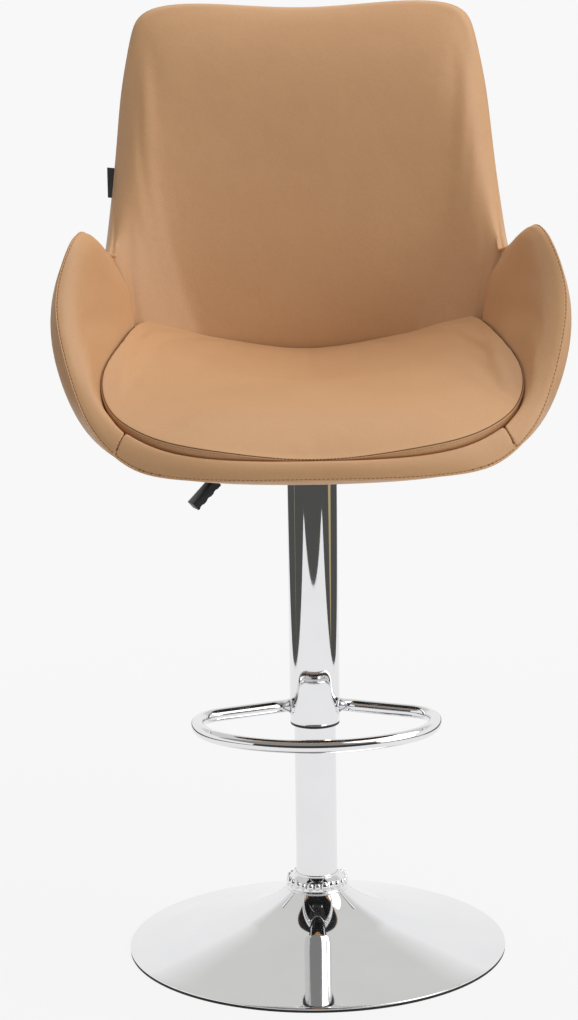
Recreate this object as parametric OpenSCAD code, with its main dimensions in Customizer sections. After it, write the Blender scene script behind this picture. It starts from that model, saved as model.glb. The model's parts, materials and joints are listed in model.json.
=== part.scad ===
// Bar stool on a gas lift: pressed base, swivelling column, footrest and a padded bucket seat with arms.
// Origin on the floor at the column's axis, +Z up, the sitter faces -Y.

/* [Base] */
// Diameter of the base plate
base_d = 458; // [400:2:480]
// Height of the base at its neck
neck_h = 76; // [68:1:84]
// Radius of the base at its neck
neck_r = 37; // [35:1:42]
// Thickness of the pressed base sheet
base_sheet = 2; // [1.5:0.1:3]
// Height of the rubber floor ring
ring_h = 3; // [2:0.5:4]

/* [Column] */
// Diameter of the fixed column tube
column_d = 50; // [48:1:52]
// Diameter of the sliding sleeve
sleeve_d = 60; // [58:1:64]
// Lower end of the sleeve, as the stool stands
sleeve_low = 286; // [270:1:300]
// Upper end of the sleeve, as the stool stands
sleeve_top = 588; // [580:1:600]

/* [Gas spring] */
// Diameter of the gas cylinder
cylinder_d = 28; // [26:1:30]
// Diameter of the piston rod
rod_d = 10; // [8:1:12]
// How far the seat comes down from where it stands
lift_down = 185; // [165:5:190]
// How far the seat still goes up
lift_up = 20; // [10:1:22]

/* [Footrest] */
// Height of the footrest's centre line
foot_z = 305; // [300:1:330]
// Diameter of the footrest tube
foot_tube = 16; // [14:1:20]
// Half of the width over the footrest's centre line
foot_half = 141; // [125:1:150]
// Reach of the footrest in front of the column's axis
foot_reach = 174; // [160:1:185]

/* [Seat] */
// Overall width of the seat
seat_w = 600; // [560:10:640]
// Overall depth of the seat
seat_d = 496; // [470:2:520]
// Height of the back above the seat's underside
back_h = 506; // [470:2:540]
// Height of the lever's channel under the seat
mechanism_h = 25; // [23:1:29]
// Width of the square seat plate
plate_w = 170; // [150:5:180]
// Distance of the seat bolts from the axis, along X and Y
bolt_at = 64; // [50:1:68]
// Thickness of the outer cover with its thin padding
cover_t = 4; // [3:0.5:5]
// Thickness of the moulded shell
shell_t = 10; // [8:0.5:12]
// Thickness of the plywood board under the cushion
board_t = 8; // [6:1:10]

/* [Lever] */
// Direction of the lever around the column, from +X
lever_angle = 206; // [195:1:215]
// Distance from the column's axis to the lever's pivot
pivot_at = 32; // [28:1:34]
// Distance from the column's axis to the lever's bend
bend_at = 122; // [110:1:130]
// Angle of the grip below level
grip_angle = 42; // [30:1:50]
// Length of the grip
grip_l = 46; // [40:1:55]
// Thickness of the grip
grip_t = 11; // [10:0.5:14]
// Width of the grip
grip_w = 15; // [12:1:20]

/* [Fits] */
// Radial clearance of a sliding or turning fit
run_gap = 0.08; // [0.02:0.01:0.1]
// Gap between parts that move past each other
free_gap = 0.3; // [0.2:0.05:0.5]

/* [Hidden] */
$fn = 72;

chrome = "gainsboro";
steel = "darkgray";
black = [0.1, 0.1, 0.1];
leather = [0.75, 0.57, 0.39];
plywood = [0.8, 0.66, 0.45];

// ---- levels inside the base, from the floor up ----
flange_z = ring_h + 1;
flange_h = 4;
ballast_z = flange_z + flange_h;
ledge_z = ballast_z + 6;
end_plate_h = 4;
damper_z = ledge_z + end_plate_h;
damper_h = 4;
race_h = 3;
ball_d = 5;
ball_pitch = 10.5;
ball_count = 10;
race_r = 15;
lower_race_z = damper_z + damper_h;
ball_z = lower_race_z + race_h + ball_d / 2;
upper_race_z = ball_z + ball_d / 2 + 0.1;
shoulder_z = upper_race_z + race_h;
collar_h = 20;

// ---- the column: its top stays clear of the sleeve's closed end when the seat is at its lowest ----
head_room = 43;
column_top = sleeve_top - lift_down - head_room;
column_r = column_d / 2;
column_wall = 1.8;
column_in = column_r - column_wall;
sleeve_r = sleeve_d / 2;
sleeve_wall = 1.5;
sleeve_in = sleeve_r - sleeve_wall;
cylinder_r = cylinder_d / 2;
cylinder_in = cylinder_r - 2;
cylinder_low = sleeve_low - 36;
cylinder_top = sleeve_top + 1;
rod_r = rod_d / 2;
rod_end_r = rod_r - 1;
rod_low = 7;
guide_h = 18;
piston_h = 12;
piston_z = cylinder_low + 2 + guide_h + lift_up + 6;
piston_gap = 0.4;
seal_h = 4;
bush_h = 40;
bush_lip = 3;
socket_wall = 4;
socket_flange_r = 100;
plate_socket_r = 22;
plate_socket_h = 26;
pin_r = 3;
valve_h = 27;

// ---- levels of the mechanism under the seat ----
box_sheet = 2.5;
box_l = 76;
box_w = 64;
plate_t = 3;
plate_z = sleeve_top + mechanism_h;
seat_z = plate_z + plate_t;
bar_h = 10;
bar_w = 5;
bar_z = sleeve_top + 6;
bar_mid = bar_z + bar_h / 2;
pin_top = bar_z - free_gap;
lever_pin_r = 2.5;
lever_rod_r = 4;
bolt_r = 4;
bolt_head_r = 7;
bolt_head_h = 5.4;
washer_r = 9;
washer_h = 1.5;
tee_r = 5.5;
tee_lip_r = 11;
tee_lip = 1.5;
floor_z = seat_z + cover_t + shell_t;
board_r = 0.19 * seat_w;

// ---- base plate: a straight dish, a soft shoulder, and a flare up into the neck ----
rim_r = base_d / 2;
rim_edge = 2.5;
rim_top = ring_h + rim_edge;
dish_slope = tan(15);
flare_slope = tan(22);
neck_slope = tan(43);
neck = [neck_r, neck_h];
shoulder_r = 0.415 * rim_r;
shoulder = [shoulder_r, rim_top + (rim_r - shoulder_r) * dish_slope];
pull_r = (neck_h - shoulder.y + neck_r * neck_slope - shoulder_r * flare_slope) / (neck_slope - flare_slope);
flare_pull = [pull_r, neck_h - (pull_r - neck_r) * neck_slope];
flare_steps = 12;
function flare_point(s) = (1 - s) * (1 - s) * neck + 2 * s * (1 - s) * flare_pull + s * s * shoulder;
function flare_normal(s) =
    let (way = (1 - s) * (flare_pull - neck) + s * (shoulder - flare_pull))
    [-way.y, way.x] / norm(way);
outer_flare = [for (i = [0:flare_steps]) flare_point(i / flare_steps)];
inner_flare = [for (i = [1:flare_steps])
    flare_point(i / flare_steps) - base_sheet * flare_normal(i / flare_steps)];

module ring(inner, outer, low, height) {
    translate([0, 0, low])
        difference() {
            cylinder(r = outer, h = height);
            translate([0, 0, -1])
                cylinder(r = inner, h = height + 2);
        }
}

module base_plate() {
    neck_edge = [[column_r, neck_h], [column_r, neck_h - base_sheet],
        [neck_r - base_sheet, neck_h - base_sheet]];
    rim = [[rim_r - 3, ring_h], [rim_r, ring_h], [rim_r, rim_top - 1], [rim_r - 2, rim_top]];
    turned = [for (i = [flare_steps:-1:0]) outer_flare[i]];
    color(chrome)
        rotate_extrude($fn = 96)
            polygon(concat(neck_edge, inner_flare, rim, turned));
}

module floor_ring() {
    color(black)
        ring(rim_r - 13, rim_r - 0.5, 0, ring_h);
}

// Cast weight under the dish; the outer part of its top bears on the underside of the sheet
module ballast_ring() {
    weight_in = 0.26 * rim_r;
    weight_mid = 0.66 * rim_r;
    weight_out = 0.76 * rim_r;
    under_rim = [rim_r - 3, ring_h];
    under_shoulder = inner_flare[flare_steps - 1];
    fall = (under_rim.y - under_shoulder.y) / (under_rim.x - under_shoulder.x);
    mid_z = under_rim.y + fall * (weight_mid - under_rim.x);
    out_z = under_rim.y + fall * (weight_out - under_rim.x);
    color("dimgray")
        rotate_extrude($fn = 96)
            polygon([[weight_in, ballast_z], [weight_out, ballast_z], [weight_out, out_z],
                [weight_mid, mid_z], [weight_in, mid_z]]);
}

module base_socket() {
    color(steel)
        union() {
            ring(column_r, column_r + socket_wall, ledge_z - 1, neck_h - base_sheet - ledge_z + 1);
            ring(column_in - 5, column_r + socket_wall, flange_z, ledge_z - flange_z);
            ring(column_in - 5, socket_flange_r, flange_z, flange_h);
        }
}

// Cover ring round the foot of the column, with a row of raised beads
module collar_ring() {
    lip_r = column_r + 1.5;
    wide_r = neck_r - 1;
    bead_count = 24;
    color(chrome)
        union() {
            translate([0, 0, neck_h])
                rotate_extrude()
                    polygon([[column_r, 0], [neck_r + 1, 0], [neck_r + 1, 1.5], [wide_r, 3],
                        [wide_r, 7], [wide_r - 2, 13], [lip_r + 3, 16], [lip_r, 17.5],
                        [lip_r, collar_h], [column_r, collar_h]]);
            for (i = [0:bead_count - 1])
                rotate([0, 0, i * 360 / bead_count])
                    translate([wide_r - 1.5, 0, neck_h + 7.5])
                        sphere(r = 2.6, $fn = 16);
        }
}

module column_tube() {
    color(chrome)
        ring(column_in, column_r, ledge_z, column_top - ledge_z);
}

module column_end_plate() {
    color(steel)
        ring(rod_end_r + 0.5, column_in, ledge_z, end_plate_h);
}

// Plastic guide that the gas cylinder slides through
module guide_bush() {
    color(black)
        union() {
            ring(cylinder_r + run_gap, column_in, column_top - bush_h, bush_h);
            ring(cylinder_r + run_gap, column_r, column_top, bush_lip);
        }
}

module bearing_damper() {
    color(black)
        ring(rod_end_r + 0.6, race_r + 3, damper_z, damper_h);
}

module bearing_lower_race() {
    color(steel)
        ring(rod_end_r + 0.3, race_r, lower_race_z, race_h);
}

module ball_ring(radius) {
    for (i = [0:ball_count - 1])
        rotate([0, 0, i * 360 / ball_count])
            translate([ball_pitch, 0, ball_z])
                sphere(r = radius, $fn = 24);
}

module ball_cage() {
    color("goldenrod")
        difference() {
            ring(ball_pitch - 3.2, ball_pitch + 3.2, ball_z - 0.8, 1.6);
            ball_ring(ball_d / 2 + 0.1);
        }
}

module bearing_balls() {
    color("silver")
        ball_ring(ball_d / 2);
}

module piston_rod() {
    color("silver")
        union() {
            translate([0, 0, rod_low])
                cylinder(r = rod_end_r, h = shoulder_z - rod_low + 1);
            translate([0, 0, shoulder_z])
                cylinder(r = rod_r, h = piston_z - shoulder_z);
            translate([0, 0, piston_z])
                cylinder(r = rod_end_r, h = piston_h);
        }
}

module bearing_upper_race() {
    color(steel)
        ring(rod_end_r, race_r, upper_race_z, race_h);
}

module piston() {
    groove_z = piston_z + (piston_h - seal_h) / 2;
    color("silver")
        difference() {
            ring(rod_end_r, cylinder_in - piston_gap, piston_z, piston_h);
            ring(cylinder_in - 3, cylinder_in + 1, groove_z, seal_h);
        }
}

module piston_seal() {
    color(black)
        ring(cylinder_in - 3, cylinder_in - run_gap, piston_z + (piston_h - seal_h) / 2, seal_h);
}

module rod_washer() {
    color(steel)
        ring(rod_end_r, rod_r + 5, ledge_z - free_gap - 2, 2);
}

// Open spring clip under the washer
module rod_clip() {
    clip_z = ledge_z - free_gap - 3.5;
    color("silver")
        difference() {
            ring(rod_end_r, rod_r + 3, clip_z, 1.5);
            translate([0, -1.5, clip_z - 1])
                cube([20, 3, 4]);
        }
}

module gas_cylinder() {
    color("dimgray")
        ring(cylinder_in, cylinder_r, cylinder_low, cylinder_top - cylinder_low);
}

module rod_guide() {
    color(black)
        ring(rod_r + run_gap, cylinder_in, cylinder_low + 2, guide_h);
}

module valve_housing() {
    color("silver")
        ring(pin_r + run_gap, cylinder_in, cylinder_top - 2 - valve_h, valve_h);
}

module release_pin() {
    pin_low = cylinder_top - 2 - valve_h + 6;
    color("silver")
        translate([0, 0, pin_low])
            cylinder(r = pin_r, h = pin_top - pin_low);
}

module sleeve_tube() {
    color(chrome)
        ring(sleeve_in, sleeve_r, sleeve_low, sleeve_top - sleeve_low);
}

// Plastic bush in the sleeve's lower end; its lip shows as a dark line
module sleeve_bush() {
    color(black)
        union() {
            ring(column_r + run_gap, sleeve_in, sleeve_low, 30);
            ring(column_r + run_gap, sleeve_r - 0.6, sleeve_low - bush_lip, bush_lip);
        }
}

module sleeve_cap() {
    color(steel)
        ring(plate_socket_r, sleeve_in, sleeve_top - 13, 13);
}

// ---- footrest: a D of tube whose centre line is three tangent arcs and an arm a side ----
front_arc = 185;
side_arc = 80;
corner_arc = 42;
corner_turn = 72;
front_turn = asin((foot_half - side_arc) / (front_arc - side_arc));
side_y = front_arc - foot_reach - (front_arc - side_arc) * cos(front_turn);
corner_x = foot_half - corner_arc;
arm_root = [column_r, side_y + corner_arc * sin(corner_turn)
    + (corner_x + corner_arc * cos(corner_turn) - column_r) / tan(corner_turn)];
// [centre, radius, angle from -Y at the start, angle at the end, steps]
foot_arcs = [[[0, front_arc - foot_reach], front_arc, 0, front_turn, 8],
    [[foot_half - side_arc, side_y], side_arc, front_turn, 90, 7],
    [[corner_x, side_y], corner_arc, 90, 90 + corner_turn, 8]];
function arc_point(arc, a) = arc[0] + arc[1] * [sin(a), -cos(a)];
// [place, angle of the outward normal from -Y] along the right half, from the front centre
foot_half_path = concat(
    [for (arc = foot_arcs, i = [0:arc[4] - 1])
        let (a = arc[2] + (arc[3] - arc[2]) * i / arc[4]) [arc_point(arc, a), a]],
    [[arc_point(foot_arcs[2], 90 + corner_turn), 90 + corner_turn], [arm_root, 90 + corner_turn]]);
foot_path = concat(
    [for (i = [len(foot_half_path) - 1:-1:1])
        let (p = foot_half_path[i]) [[-p[0].x, p[0].y], -p[1]]],
    foot_half_path);

module footrest_ring() {
    sides = 20;
    rings = len(foot_path);
    points = [for (p = foot_path, k = [0:sides - 1])
        let (a = k * 360 / sides, out = foot_tube / 2 * cos(a))
        [p[0].x + out * sin(p[1]), p[0].y - out * cos(p[1]), foot_z + foot_tube / 2 * sin(a)]];
    skin = [for (j = [0:rings - 2], k = [0:sides - 1])
        let (m = (k + 1) % sides)
        [j * sides + k, j * sides + m, (j + 1) * sides + m, (j + 1) * sides + k]];
    first = [for (k = [sides - 1:-1:0]) k];
    last = [for (k = [0:sides - 1]) (rings - 1) * sides + k];
    color(chrome)
        difference() {
            polyhedron(points, concat(skin, [first, last]), convexity = 6);
            translate([0, 0, foot_z - foot_tube])
                cylinder(r = sleeve_r, h = 2 * foot_tube);
        }
}

module plate_socket() {
    color(steel)
        ring(cylinder_r, plate_socket_r, sleeve_top - plate_socket_h, plate_socket_h);
}

module along_lever() {
    rotate([0, 0, lever_angle])
        children();
}

module pivot_hole(radius) {
    translate([pivot_at, box_w, bar_mid])
        rotate([90, 0, 0])
            cylinder(r = radius, h = 2 * box_w);
}

// Channel between sleeve and seat plate that carries the lever's pivot
module mechanism_box() {
    color(steel)
        along_lever()
            difference() {
                union() {
                    translate([-box_l / 2, -box_w / 2, sleeve_top])
                        cube([box_l, box_w, box_sheet]);
                    for (y = [-box_w / 2, box_w / 2 - box_sheet])
                        translate([-box_l / 2, y, sleeve_top])
                            cube([box_l, box_sheet, mechanism_h]);
                }
                translate([0, 0, sleeve_top - 1])
                    cylinder(r = cylinder_r, h = box_sheet + 2);
                pivot_hole(lever_pin_r);
            }
}

module lever_pin() {
    color("silver")
        along_lever()
            translate([pivot_at, box_w / 2 + 1, bar_mid])
                rotate([90, 0, 0])
                    cylinder(r = lever_pin_r, h = box_w + 2);
}

module lever_bar() {
    color(steel)
        along_lever()
            difference() {
                union() {
                    translate([-8, -bar_w / 2, bar_z])
                        cube([70, bar_w, bar_h]);
                    translate([58, 0, bar_mid])
                        rotate([0, 90, 0])
                            cylinder(r = lever_rod_r, h = bend_at - 58);
                    translate([bend_at, 0, bar_mid])
                        sphere(r = lever_rod_r + 0.6);
                    translate([bend_at, 0, bar_mid])
                        rotate([0, 90 + grip_angle, 0])
                            cylinder(r = lever_rod_r, h = grip_l - 10);
                }
                pivot_hole(lever_pin_r + run_gap);
            }
}

// Paddle pushed onto the lever, with finger hollows on its underside
module lever_grip() {
    grip_start = 6;
    hollow_r = 6;
    color(black)
        along_lever()
            translate([bend_at, 0, bar_mid])
                rotate([0, grip_angle, 0])
                    difference() {
                        translate([grip_start, -grip_w / 2, -grip_t / 2])
                            cube([grip_l - grip_start, grip_w, grip_t]);
                        rotate([0, 90, 0])
                            cylinder(r = lever_rod_r, h = grip_l - 10);
                        for (i = [0:2])
                            translate([grip_start + 10 + 12 * i, grip_w, 1.2 - grip_t / 2 - hollow_r])
                                rotate([90, 0, 0])
                                    cylinder(r = hollow_r, h = 2 * grip_w);
                    }
}

module at_bolts() {
    for (x = [-bolt_at, bolt_at], y = [-bolt_at, bolt_at])
        translate([x, y, 0])
            children();
}

// Square block with rounded corners
module plate_block(width, low, height) {
    corner = 12;
    half = width / 2;
    translate([0, 0, low])
        linear_extrude(height)
            union() {
                square([width, width - 2 * corner], center = true);
                square([width - 2 * corner, width], center = true);
                for (x = [corner - half, half - corner], y = [corner - half, half - corner])
                    translate([x, y])
                        circle(r = corner);
            }
}

module seat_plate() {
    color(steel)
        difference() {
            plate_block(plate_w, plate_z, plate_t);
            at_bolts()
                translate([0, 0, plate_z - 1])
                    cylinder(r = bolt_r + 0.25, h = plate_t + 2);
        }
}

module seat_bolts() {
    head_z = plate_z - washer_h - bolt_head_h;
    color("silver")
        at_bolts()
            union() {
                translate([0, 0, head_z])
                    cylinder(r = bolt_head_r, h = bolt_head_h, $fn = 6);
                translate([0, 0, head_z + 1])
                    cylinder(r = bolt_r, h = floor_z + board_t - head_z - 2);
            }
}

module bolt_washers() {
    color("silver")
        at_bolts()
            ring(bolt_r + 0.25, washer_r, plate_z - washer_h, washer_h);
}

module tee_nuts() {
    color("silver")
        at_bolts()
            union() {
                ring(bolt_r, tee_r, floor_z, board_t);
                ring(bolt_r, tee_lip_r, floor_z + board_t - tee_lip, tee_lip);
            }
}

module cushion_board() {
    color(plywood)
        difference() {
            translate([0, 0, floor_z])
                cylinder(r = board_r, h = board_t);
            at_bolts()
                union() {
                    translate([0, 0, floor_z - 1])
                        cylinder(r = tee_r, h = board_t);
                    translate([0, 0, floor_z + board_t - tee_lip])
                        cylinder(r = tee_lip_r, h = tee_lip + 1);
                }
        }
}

// ---- bucket seat: one net of control points shapes the shell, its cover and its pads ----
// each row, from the front centre round the right side to the back centre, holds
// [turn, outer rim, outer belly, inner rim, inner belly], with heights from the seat's underside
SEAT = [
    [0, [0, -240, 22], [0, -222, 5], [0, -231, 40], [0, -222, 25]],
    [34, [140, -228, 25], [138, -208, 6], [138, -219, 44], [140, -208, 27]],
    [55, [222, -192, 51], [228, -165, 18], [213, -181, 67], [222, -172, 40]],
    [70, [270, -146, 106], [292, -108, 52], [250, -131, 111], [252, -120, 66]],
    [81, [293, -88, 199], [334, -45, 126], [267, -74, 196], [250, -66, 99]],
    [94, [267, -24, 270], [341, 20, 184], [249, -16, 257], [240, -10, 149]],
    [118, [240, 98, 229], [285, 130, 159], [218, 92, 222], [222, 90, 124]],
    [133, [231, 165, 309], [262, 195, 214], [207, 142, 306], [211, 112, 174]],
    [147, [214, 208, 446], [233, 240, 284], [192, 184, 438], [189, 132, 214]],
    [160, [175, 230, 506], [178, 250, 334], [157, 204, 494], [142, 146, 234]],
    [180, [0, 238, 502], [0, 256, 334], [0, 210, 490], [0, 156, 234]]];
// how far up the inner wall the cushion's side reaches at the same rows
CUSHION = [1, 1, 0.94, 0.82, 0.7, 0.62, 0.7, 0.55, 0.44, 0.385, 0.345];
flat_r = 0.2 * seat_w;
belly_x = 0.408 * seat_w;
belly_y = 0.393 * seat_d;
corner_row = 2;
notch_row = 6;
last_row = len(SEAT) - 1;
row_steps = 3;
half_steps = last_row * row_steps;
wall_steps = 8;
pad_low = 2;
rail_low = 6;

// the net is drawn for a seat 600 wide, 496 deep and 506 high
seat_scale = [seat_w / 600, seat_d / 496, back_h / 506];
function in_place(p) = [p.x * seat_scale.x, p.y * seat_scale.y, seat_z + p.z * seat_scale.z];
function mirrored(p) = is_list(p) ? [-p.x, p.y, p.z] : p;
// smooth curve through the rows of a list of points, mirrored at both ends
function smooth(list, u) =
    let (n = len(list) - 1, i = min(floor(u), n - 1), f = u - i,
        a = i == 0 ? mirrored(list[1]) : list[i - 1], b = list[i], c = list[i + 1],
        d = i == n - 1 ? mirrored(list[n - 1]) : list[i + 2])
    b + (c - a) * f / 2 + (2 * a - 5 * b + 4 * c - d) * f * f / 2 + (3 * b - a - 3 * c + d) * f * f * f / 2;
function column_of(k) = [for (row = SEAT) in_place(row[k])];
outer_rims = column_of(1);
outer_bellies = column_of(2);
inner_rims = column_of(3);
inner_bellies = column_of(4);
turns = [for (row = SEAT) [sin(row[0]), -cos(row[0]), 0]];
function bezier(a, b, c, d, s) =
    let (r = 1 - s)
    a * r * r * r + b * 3 * r * r * s + c * 3 * r * s * s + d * s * s * s;
function outer_wall(u, s) =
    let (way = smooth(turns, u))
    bezier([way.x * flat_r, way.y * flat_r, seat_z], [way.x * belly_x, way.y * belly_y, seat_z],
        smooth(outer_bellies, u), smooth(outer_rims, u), s);
function inner_wall(u, s) =
    let (way = smooth(turns, u), belly = smooth(inner_bellies, u), foot = seat_z + 24,
        start = [way.x * flat_r, way.y * flat_r, foot], near = start + 0.7 * (belly - start))
    bezier(start, [near.x, near.y, foot], belly, smooth(inner_rims, u), s);
// point of the wall at a depth below its outer face; past full depth it stays on the inner face
function wall_point(u, s, depth) =
    let (p = outer_wall(u, s), q = inner_wall(u, s))
    p + (q - p) * min(1, depth / norm(q - p));
// column k counts from the front centre round the right side; left is below 0 or past the back centre
function on_left(k) = k < 0 || k >= half_steps;
function seat_point(k, j, depth) =
    let (turn = k > half_steps ? 2 * half_steps - k : abs(k),
        p = wall_point(turn / row_steps, j / wall_steps, depth))
    k < 0 || k > half_steps ? mirrored(p) : p;
full = 1000;
// two triangles of a face with corners a, b, c and d; the left half is cut the other way, as a mirror image
function cut(a, b, c, d, left) = left ? [[a, b, d], [b, c, d]] : [[a, b, c], [a, c, d]];

// Bowl between two depths of the wall and up to a step of it, closed round the whole seat
module bowl(depth_low, depth_high, steps) {
    around = 2 * half_steps;
    rings = steps + 1;
    sheet = rings * around;
    points = [for (depth = [depth_low, depth_high], j = [0:steps], k = [0:around - 1])
        seat_point(k - half_steps, j, depth)];
    centres = [[0, 0, seat_z + depth_low], [0, 0, seat_z + depth_high]];
    function at(layer, j, k) = layer * sheet + j * around + k % around;
    outside = [for (j = [0:steps - 1], k = [0:around - 1])
        each cut(at(0, j, k), at(0, j + 1, k), at(0, j + 1, k + 1), at(0, j, k + 1), k < half_steps)];
    inside = [for (j = [0:steps - 1], k = [0:around - 1])
        each cut(at(1, j, k), at(1, j, k + 1), at(1, j + 1, k + 1), at(1, j + 1, k), k < half_steps)];
    rim = [for (k = [0:around - 1], j = steps)
        each cut(at(0, j, k), at(1, j, k), at(1, j, k + 1), at(0, j, k + 1), k < half_steps)];
    floor_low = [for (k = [0:around - 1]) [2 * sheet, at(0, 0, k), at(0, 0, k + 1)]];
    floor_high = [for (k = [0:around - 1]) [2 * sheet + 1, at(1, 0, k + 1), at(1, 0, k)]];
    polyhedron(concat(points, centres), concat(outside, inside, rim, floor_low, floor_high), convexity = 6);
}

// Pad between the shell and the inner face, from one column to another
module wall_pad(from, to, low) {
    across = to - from + 1;
    rings = wall_steps - low + 1;
    sheet = rings * across;
    points = [for (depth = [cover_t + shell_t, full], j = [low:wall_steps], k = [from:to])
        seat_point(k, j, depth)];
    function at(layer, j, k) = layer * sheet + j * across + k;
    outside = [for (j = [0:rings - 2], k = [0:across - 2])
        each cut(at(0, j, k), at(0, j + 1, k), at(0, j + 1, k + 1), at(0, j, k + 1), on_left(from + k))];
    inside = [for (j = [0:rings - 2], k = [0:across - 2])
        each cut(at(1, j, k), at(1, j, k + 1), at(1, j + 1, k + 1), at(1, j + 1, k),
            on_left(from + k))];
    low_edge = [for (k = [0:across - 2], j = 0)
        each cut(at(0, j, k), at(0, j, k + 1), at(1, j, k + 1), at(1, j, k), on_left(from + k))];
    rim = [for (k = [0:across - 2], j = rings - 1)
        each cut(at(0, j, k), at(1, j, k), at(1, j, k + 1), at(0, j, k + 1), on_left(from + k))];
    first_end = [for (j = [0:rings - 2], k = 0)
        each cut(at(0, j, k), at(1, j, k), at(1, j + 1, k), at(0, j + 1, k), false)];
    last_end = [for (j = [0:rings - 2], k = across - 1)
        each cut(at(0, j, k), at(0, j + 1, k), at(1, j + 1, k), at(1, j, k), false)];
    polyhedron(points, concat(outside, inside, low_edge, rim, first_end, last_end), convexity = 6);
}

module bolt_holes(radius) {
    at_bolts()
        translate([0, 0, seat_z - 1])
            cylinder(r = radius, h = cover_t + shell_t + 2);
}

module outer_cover() {
    color(leather)
        difference() {
            bowl(0, cover_t, wall_steps);
            bolt_holes(bolt_r + 0.25);
        }
}

// Thin black cloth under the seat, cut out round the seat plate
module bottom_cloth() {
    cloth_t = 0.8;
    cloth_steps = 3;
    color(black)
        difference() {
            bowl(-cloth_t, 0, cloth_steps);
            plate_block(plate_w + 2 * free_gap, seat_z - plate_t, plate_t + 1);
        }
}

module seat_shell() {
    color(plywood)
        difference() {
            bowl(cover_t, cover_t + shell_t, wall_steps);
            bolt_holes(bolt_r + 0.25);
        }
}

module back_pad() {
    color(leather)
        wall_pad(notch_row * row_steps, 2 * half_steps - notch_row * row_steps, pad_low);
}

module arm_pad() {
    wall_pad(corner_row * row_steps, notch_row * row_steps, pad_low);
}

module arm_pad_left() {
    color(leather)
        mirror([1, 0, 0])
            arm_pad();
}

module arm_pad_right() {
    color(leather)
        arm_pad();
}

module front_rail_pad() {
    color(leather)
        wall_pad(-corner_row * row_steps, corner_row * row_steps, rail_low);
}

// ---- seat cushion: its side follows the inner wall, its top is dished between raised sides ----
cushion_gap = 3;
cushion_low = floor_z + board_t + 0.2;
boxing = 6;
crown = in_place([0, -40, 90]);
side_shares = [0.35, 0.55, 0.75, 0.9, 1];
top_shares = [1, 0.93, 0.84, 0.72, 0.56, 0.36, 0.18];
function pulled_in(p, gap) = let (way = [p.x, p.y - crown.y, 0]) p - gap * way / norm(way);
function cushion_side(k, share) =
    let (u = abs(k) / row_steps, p = pulled_in(inner_wall(u, share * smooth(CUSHION, u)), cushion_gap))
    [k < 0 ? -p.x : p.x, p.y, p.z];
function cushion_top(k, share) =
    let (seam = pulled_in(cushion_side(k, 1), 1) + [0, 0, boxing], drop = seam.z - crown.z)
    [seam.x * share, crown.y + (seam.y - crown.y) * share,
        crown.z + drop * pow(share, drop < 0 ? 5 : 2.5)];

module seat_cushion() {
    around = 2 * half_steps;
    columns = [for (k = [0:around - 1]) k - half_steps];
    foot = [for (k = columns)
        let (way = smooth(turns, abs(k) / row_steps))
        [(k < 0 ? -1 : 1) * way.x * board_r, way.y * board_r, cushion_low]];
    sides = [for (i = [len(side_shares) - 1:-1:0], k = columns) cushion_side(k, side_shares[i])];
    tops = [for (i = [len(top_shares) - 1:-1:0], k = columns) cushion_top(k, top_shares[i])];
    rings = len(side_shares) + len(top_shares) + 1;
    function at(j, k) = j * around + k % around;
    skin = [for (j = [0:rings - 2], k = [0:around - 1], half = [0, 1])
        half == 0 ? [at(j, k), at(j, k + 1), at(j + 1, k + 1)] : [at(j, k), at(j + 1, k + 1), at(j + 1, k)]];
    top = [for (k = [0:around - 1]) [rings * around, at(0, k + 1), at(0, k)]];
    bottom = [for (k = [0:around - 1]) [rings * around + 1, at(rings - 1, k), at(rings - 1, k + 1)]];
    color(leather)
        polyhedron(concat(tops, sides, foot, [crown, [0, 0, cushion_low]]),
            concat(skin, top, bottom), convexity = 4);
}

// Small blank woven tab sewn into the side seam of the back
module side_tab() {
    tab = [9, 1.5, 38];
    place = notch_row + 0.93;
    seam = mirrored(smooth(outer_rims, place));
    run = mirrored(smooth(outer_rims, place + 0.1)) - mirrored(smooth(outer_rims, place - 0.1));
    color(black)
        translate(seam)
            rotate([-asin(run.y / norm(run)), atan2(run.x, run.z), 0])
                translate([-free_gap - tab.x / 2, 0, 0])
                    cube(tab, center = true);
}

base_plate();
floor_ring();
ballast_ring();
base_socket();
collar_ring();
column_tube();
column_end_plate();
guide_bush();
bearing_damper();
bearing_lower_race();
ball_cage();
bearing_balls();
piston_rod();
bearing_upper_race();
piston();
piston_seal();
rod_washer();
rod_clip();
gas_cylinder();
rod_guide();
valve_housing();
release_pin();
sleeve_tube();
sleeve_bush();
sleeve_cap();
footrest_ring();
plate_socket();
mechanism_box();
lever_pin();
lever_bar();
lever_grip();
seat_plate();
seat_bolts();
bolt_washers();
tee_nuts();
cushion_board();
bottom_cloth();
outer_cover();
seat_shell();
back_pad();
arm_pad_left();
arm_pad_right();
front_rail_pad();
seat_cushion();
side_tab();
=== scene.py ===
import bpy
import bmesh
import json
import math
import random
from mathutils import Matrix, Vector
from mathutils.bvhtree import BVHTree
from mathutils.kdtree import KDTree

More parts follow.
